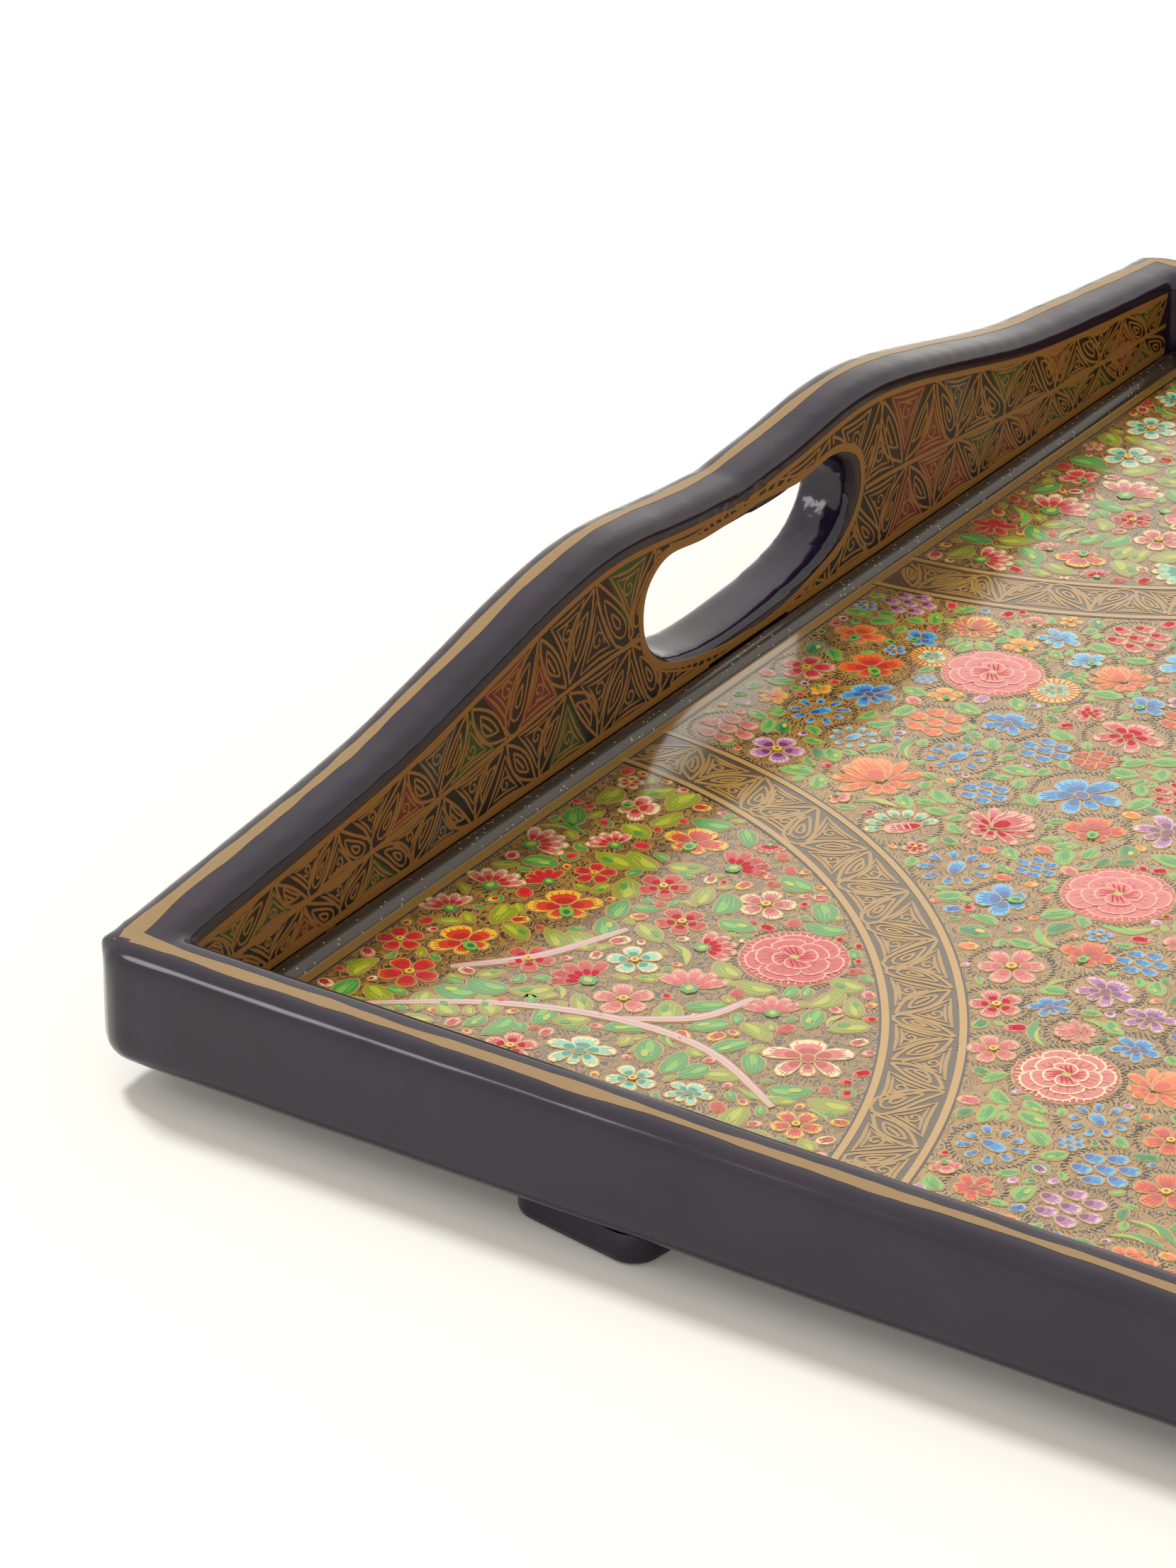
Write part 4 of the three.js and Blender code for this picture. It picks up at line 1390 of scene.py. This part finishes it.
class Pen:
    """Draws in lines of one paint on a canvas; heavy is the width of the main lines."""

    def __init__(self, canvas, paint, heavy, rng):
        self.canvas, self.paint, self.heavy, self.random = canvas, paint, heavy, rng

    def line(self, path, share=1.0, closed=False):
        self.canvas.line(path, self.heavy * share, "gold", self.paint, closed=closed)

    def edge(self, curve, reach, width):
        """A line along the whole of a row's edge."""
        count = max(2, int(2 * reach / 3.0))
        path = [curve(-reach + 2 * reach * k / count) for k in range(count + 1)]
        self.canvas.line(path, width, "stem", self.paint)

    def almond(self, p, q, width, bend):
        """A leaf: an outline, an inner outline and a midrib."""
        side = (q - p) * 1j / abs(q - p)
        for scale, share in ((1.0, 1.0), (0.52, 0.8)):
            a, b = between(p, q, 0.5 - scale / 2 * 0.94), between(p, q, 0.5 + scale / 2 * 0.94)
            for way in (1, -1):
                belly = side * (way * width / 2 * scale + bend)
                self.line([between(a, b, t) + belly * math.sin(math.pi * t) for t in ARC_STEPS], share)
        self.line([between(p, q, t) + side * bend for t in (0.38, 0.64)], 0.9)

    def teardrop(self, tip, end, width, bend):
        """Drops one inside another, round an eye near the blunt end."""
        along = end - tip
        side = along * 1j / abs(along)
        for scale, share in ((1.0, 1.0), (0.60, 0.8), (0.24, 0.8)):
            path = []
            for a in round_angles(14):
                t = 0.5 - 0.5 * math.cos(a)
                reach = 0.62 + (t - 0.62) * scale
                across = width / 2 * scale * math.sin(a) * (0.35 + 0.9 * t) + bend * math.sin(math.pi * reach)
                path.append(tip + along * reach + side * across)
            self.line(path, share, closed=True)

    def triangle(self, corners, wash):
        """Triangles one inside another with hollow sides, and a curl in the middle."""
        centre = sum(corners) / 3
        if wash:
            self.canvas.film([between(centre, c, 0.92) for c in corners], "dark", wash)
        span = min(abs(c - centre) for c in corners)
        for scale, share in ((0.78, 1.0), (0.50, 0.8)):
            if span * scale < 1.1:
                continue
            points = []
            for k in range(3):
                a, b = between(centre, corners[k], scale), between(centre, corners[(k + 1) % 3], scale)
                pull = (centre - between(a, b, 0.5)) * self.random.uniform(0.08, 0.2)
                hollow = ((0.28, 0.7), (0.5, 1.0), (0.72, 0.7))
                points += [a] + [between(a, b, t) + pull * share for t, share in hollow]
            self.line(points, share, closed=True)
        if span > 2.2:
            start = self.random.uniform(0, 6)
            radii = [span * 0.24 * (1 - 0.78 * k / 8) for k in range(9)]
            self.line([centre + radius * turn(start + k * 0.95) for k, radius in enumerate(radii)], 0.8)

    def zigzag_row(self, low, high, start, end, pitch, washes, odd=False):
        """A row between two edges, low(s) and high(s): drops and leaves in zigzag, triangles between them."""
        rng = self.random
        count = max(2, round((end - start) / pitch))
        step = (end - start) / count
        places = [start]
        places += [start + (k + rng.uniform(-0.13, 0.13)) * step for k in range(1, count)]
        places.append(end)
        nodes = [high(s) if (k + odd) % 2 else low(s) for k, s in enumerate(places)]
        for k in range(count):
            p, q = between(nodes[k], nodes[k + 1], 0.03), between(nodes[k], nodes[k + 1], 0.97)
            if (k + odd) % 2:
                p, q = q, p
            length = abs(q - p)
            bend = length * rng.choice((-1, 1)) * rng.uniform(0.02, 0.1)
            if rng.random() < 0.55:
                self.teardrop(q, p, length * rng.uniform(0.34, 0.46), bend)
            else:
                self.almond(p, q, length * rng.uniform(0.26, 0.36), bend)
        for k in range(count - 1):
            edge = low if (k + 1 + odd) % 2 else high
            near = edge(between(places[k], places[k + 1], 0.26))
            far = edge(between(places[k + 1], places[k + 2], 0.74))
            tip = between(nodes[k + 1], (near + far) / 2, 0.08)
            self.triangle([near, far, tip], rng.choice(washes))


WALL_LOW = 5.1
WALL_MARGIN = 4.3
WALL_CELL = 9.4
WALL_END = 2.0
WALL_HEAVY = 0.58
WALL_PARTS = 80
DIVIDER = 0.46
HOLE_CLEAR = 2.3
BACK_CLEAR = 1.6
RING_WIDTH = 1.3
RUNG_ROOM = 2.5
RUNG_PITCH = 1.75
HOLE_REGION = 60
UNDER_WASHES = -0.006
WASHES = ["wall_black", "wall_red", "wall_green", "wall_green", "wall_blue", "wall_red", "wall_black"]


def contains(ring, p):
    """Whether a closed ring goes round a point."""
    crossings = 0
    for a, b in zip(ring, ring[1:] + ring[:1]):
        if (a.imag > p.imag) != (b.imag > p.imag):
            crossings += between(a, b, (p.imag - a.imag) / (b.imag - a.imag)).real > p.real
    return crossings % 2 == 1


def paint_hole_rim(pen, hole, back, top, tops):
    """The black ground at both sides of the hole, and a ring of rungs round it.

    back is the side of the hole with the wider rim, and tops is the ground's upper edge.
    """
    canvas, rng = pen.canvas, pen.random

    def grown(amount, room=0.0):
        ring = []
        for p in hole:
            ray = (p - HOLE_MIDDLE * 1j) / abs(p - HOLE_MIDDLE * 1j)
            q = p + ray * (amount + BACK_CLEAR * max(0.0, back * ray.real) + room * abs(ray.imag))
            ring.append(complex(q.real, min(max(q.imag, WALL_LOW), top(q.real).imag)))
        return ring

    bare = grown(HOLE_CLEAR - RING_WIDTH / 2)
    for side in (-1, 1):
        half_ring = [p for p in bare if side * p.real > -0.01]
        half_ring.sort(key=lambda p: math.atan2(p.imag - HOLE_MIDDLE, side * p.real))
        outer_end = tops[0 if side < 0 else -1].real
        lower = [complex(outer_end, WALL_LOW), complex(0, WALL_LOW)]
        outline = lower + half_ring + tops[WALL_PARTS // 2::side]
        canvas.film(outline, "dark", "wall_black", UNDER_WASHES)
    ring = grown(HOLE_CLEAR)
    rail = grown(HOLE_CLEAR + 0.5, RUNG_ROOM)
    canvas.line(ring, RING_WIDTH, "base", pen.paint, closed=True)
    canvas.line(rail, 0.5, "stem", pen.paint, closed=True)
    along = 0.0
    for k, b in enumerate(ring):
        along += abs(b - ring[k - 1])
        if along >= RUNG_PITCH and abs(rail[k].imag - b.imag) >= 0.7:
            along = 0.0
            foot = rail[k] + rng.uniform(0.3, 0.9)
            canvas.line([b, foot], rng.uniform(0.6, 0.95), "gold", pen.paint)
    canvas.blocked = lambda p: abs(p.real) < HOLE_REGION and contains(rail, p)


def paint_wall(name, place, half, height, hole=None, back=1):
    """Two rows of drops, leaves and triangles on a black ground."""
    canvas = Canvas(name, place, slot="black_lacquer")
    pen = Pen(canvas, "wall_gold", WALL_HEAVY, random.Random(name))
    reach = half - WALL_END

    def bottom(s):
        return complex(s, WALL_LOW)

    def top(s):
        return complex(s, height(s) - WALL_MARGIN)

    def middle(s):
        return between(bottom(s), top(s), DIVIDER)

    tops = [top(reach * (2 * k / WALL_PARTS - 1)) for k in range(WALL_PARTS + 1)]
    if hole:
        paint_hole_rim(pen, hole, back, top, tops)
    else:
        canvas.film([bottom(-reach), bottom(reach)] + tops[::-1], "dark", "wall_black", UNDER_WASHES)
    for curve, width in ((bottom, 1.5), (top, 1.1), (middle, 0.9)):
        pen.edge(curve, reach, width)
    pen.zigzag_row(bottom, middle, -reach, reach, WALL_CELL, WASHES)
    pen.zigzag_row(middle, top, -reach, reach, WALL_CELL, WASHES, odd=True)
    canvas.finish()


def paint_walls():
    def rail_height(_):
        return RAIL_HEIGHT + 0.6

    for name, s in (("left", 1), ("right", -1)):
        def place(u, v, h, s=s):
            return (s * (h - INNER_X), s * u, FRAME_BOTTOM + v)

        hole = [complex(*p) for p in hand_hole(s)]
        paint_wall(f"{name}_wall_pattern", place, INNER_Y, board_height, hole, s)
    for name, s in (("front", 1), ("back", -1)):
        def place(u, v, h, s=s):
            return (-s * u, s * (h - INNER_Y), FRAME_BOTTOM + v)

        paint_wall(f"{name}_wall_pattern", place, INNER_X, rail_height)


def corner_point(sx, sy, radius, angle):
    rise = radius * CORNER_STRETCH * math.sin(angle)
    return complex(sx * (INNER_X - radius * math.cos(angle)), sy * (INNER_Y - rise))


def arc_limits(radius, edge=BAND_EDGE):
    """Angles at which a corner arc comes within a distance of the two sides."""
    return math.asin(edge / radius / CORNER_STRETCH), math.pi / 2 - math.asin(edge / radius)


def corner_arc(sx, sy, radius, parts=60, edge=BAND_EDGE):
    first, last = arc_limits(radius, edge)
    return [corner_point(sx, sy, radius, first + (last - first) * k / parts) for k in range(parts + 1)]


def paint_bands(place):
    """The oval bands that cut off the corners."""
    canvas = Canvas("corner_band_pattern", place)
    pen = Pen(canvas, "band_gold", BAND_HEAVY, random.Random(7))
    for sx, sy in CORNERS:
        for radius, width, paint, level in (
            (CORNER_INNER, BAND_RULE, "gold_line", "stem"),
            (CORNER_OUTER, BAND_RULE, "gold_line", "stem"),
            (CORNER_INNER - THIN_RULE_GAP, THIN_RULE, "black", "gold"),
            (CORNER_OUTER + THIN_RULE_GAP, THIN_RULE, "black", "gold"),
        ):
            canvas.line(corner_arc(sx, sy, radius), width, level, paint)
        middle = (CORNER_INNER + CORNER_OUTER) / 2
        start, end = (angle * middle for angle in arc_limits(middle))
        low, high = (
            lambda s, radius=radius: corner_point(sx, sy, radius, s / middle)
            for radius in (CORNER_INNER + BAND_INSET, CORNER_OUTER - BAND_INSET)
        )
        pen.zigzag_row(low, high, start, end, BAND_PITCH, [None])
    canvas.finish()


def lay_ground(name, outline, material):
    """A thin flat coat on the panel."""
    outline = anticlockwise(outline)
    vertices = [(p.real, p.imag, PANEL_TOP + z) for z in (GROUND_LIFT, GROUND_BASE) for p in outline]
    link_piece(mesh_from(name, vertices, slab_faces(0, len(outline))), "painted_panel", [material])


def paint_grounds():
    """The coats under the painting: hatched gold in the middle and the corners, black under the bands."""
    edge = SLIP_WIDTH / 2
    middle = []
    for sx, sy, way in ((1, 1, 1), (1, -1, -1), (-1, -1, 1), (-1, 1, -1)):
        outer = corner_arc(sx, sy, CORNER_OUTER, 40, edge)
        inner = corner_arc(sx, sy, CORNER_INNER, 40, edge)
        middle += outer[::way]
        corner = complex(sx * (INNER_X - edge), sy * (INNER_Y - edge))
        side = f"{'back' if sy > 0 else 'front'}_{'right' if sx > 0 else 'left'}"
        lay_ground(f"band_ground_{side}", outer + inner[::-1], paint_materials["band_black"])
        lay_ground(f"corner_ground_{side}", inner + [corner], GROUND_DARK)
    lay_ground("middle_ground", middle, GROUND)


def paint_borders(place):
    """Straight lines along the slips."""
    canvas = Canvas("panel_border_lines", place)
    for inset, width, paint in ((SLIP_WIDTH + 0.9, 2.2, "band_gold"), (SLIP_WIDTH + 2.3, THIN_RULE, "black")):
        corners = [complex(sx * (INNER_X - inset), sy * (INNER_Y - inset)) for sx, sy in SQUARE]
        for a, b in zip(corners, corners[1:] + corners[:1]):
            canvas.line([between(a, b, k / 40) for k in range(41)], width, "gold", paint)
    canvas.finish()


PINSTRIPE_FROM_SIDE = 5.0
PINSTRIPE_FROM_END = 4.5
PINSTRIPE_WIDTH = 2.0
PINSTRIPE_STATION = 2.0
PINSTRIPE_BLOB = 0.4
PINSTRIPE_BLOB_SIZE = 11.0
PINSTRIPE_LANES = (-1, -0.5, 0, 0.5, 1)
PINSTRIPE_DEPTH = 0.05


def rim_stations(x, y):
    """Places along a rectangle, each with the direction across its line; the corners are mitred."""
    corners = [(sx * x, sy * y) for sx, sy in SQUARE]
    stations = []
    for k, (x0, y0) in enumerate(corners):
        x1, y1 = corners[(k + 1) % 4]
        length = math.hypot(x1 - x0, y1 - y0)
        count = int(length / PINSTRIPE_STATION)
        for step in range(count):
            t = step / count
            across = Vector((-(y1 - y0) / length, (x1 - x0) / length))
            if step == 0:
                back = Vector((x0 - corners[k - 1][0], y0 - corners[k - 1][1])).normalized()
                across = (across + Vector((-back.y, back.x))).normalized() * math.sqrt(2)
            stations.append((Vector((x0 + (x1 - x0) * t, y0 + (y1 - y0) * t)), across))
    return stations


def paint_pinstripe(whole):
    """A hand-painted gold line along the rim: it lies on the frame's own surface."""
    vertices = [v.co.copy() for v in whole.vertices]
    tree = BVHTree.FromPolygons(vertices, [tuple(p.vertices) for p in whole.polygons])
    x, y = HALF_LENGTH - PINSTRIPE_FROM_END, HALF_WIDTH - PINSTRIPE_FROM_SIDE
    stations = rim_stations(x, y)
    points = []
    for centre, across in stations:
        seed = Vector((centre.x / 16, centre.y / 16, 3))
        half = PINSTRIPE_WIDTH / 2 * (1 + 0.55 * noise.noise(seed) + 0.25 * noise.noise(seed * 3.1))
        from_corner = math.hypot(abs(centre.x) - x, abs(centre.y) - y)
        half *= 1 + PINSTRIPE_BLOB * math.exp(-((from_corner / PINSTRIPE_BLOB_SIZE) ** 2))
        centre = centre + across * 0.55 * noise.noise(seed * 0.6 + Vector((9, 0, 0)))
        for side in (1, -1):
            for lane in PINSTRIPE_LANES[::side]:
                p = centre + across * half * lane
                hit = tree.ray_cast(Vector((p.x * MM, p.y * MM, 0.2)), Vector((0, 0, -1)))[0]
                points.append((p.x, p.y, hit.z / MM + side * PINSTRIPE_DEPTH))
    faces = ring_faces(0, len(stations), 2 * len(PINSTRIPE_LANES), closed=True)
    mesh = mesh_from("rim_pinstripe", points, faces)
    fix_normals(mesh)
    link_piece(mesh, "black_lacquer", [PINSTRIPE])


def paint_panel():
    def place(u, v, h):
        return (u, v, PANEL_TOP + GROUND_LIFT + h)

    paint_grounds()
    paint_borders(place)
    paint_bands(place)
    painter = Painter(place)
    paint_leading(painter)
    paint_branches(painter)
    for zone in ("field", "corner"):
        fill_zone(painter, zone)
    for canvas in painter.canvas.values():
        canvas.finish()


bpy.context.scene.view_settings.view_transform = "Standard"
place_camera()
make_studio()
whole_frame = make_frame()
split_frame(whole_frame)
make_slips()
paint_pinstripe(whole_frame)
paint_walls()
paint_panel()

for name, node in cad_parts.items():
    if node.type != "MESH":
        continue
    material = STEEL if ("nail" in name or "brad" in name or "screw" in name) else LACQUER
    for slot in node.material_slots:
        slot.material = material
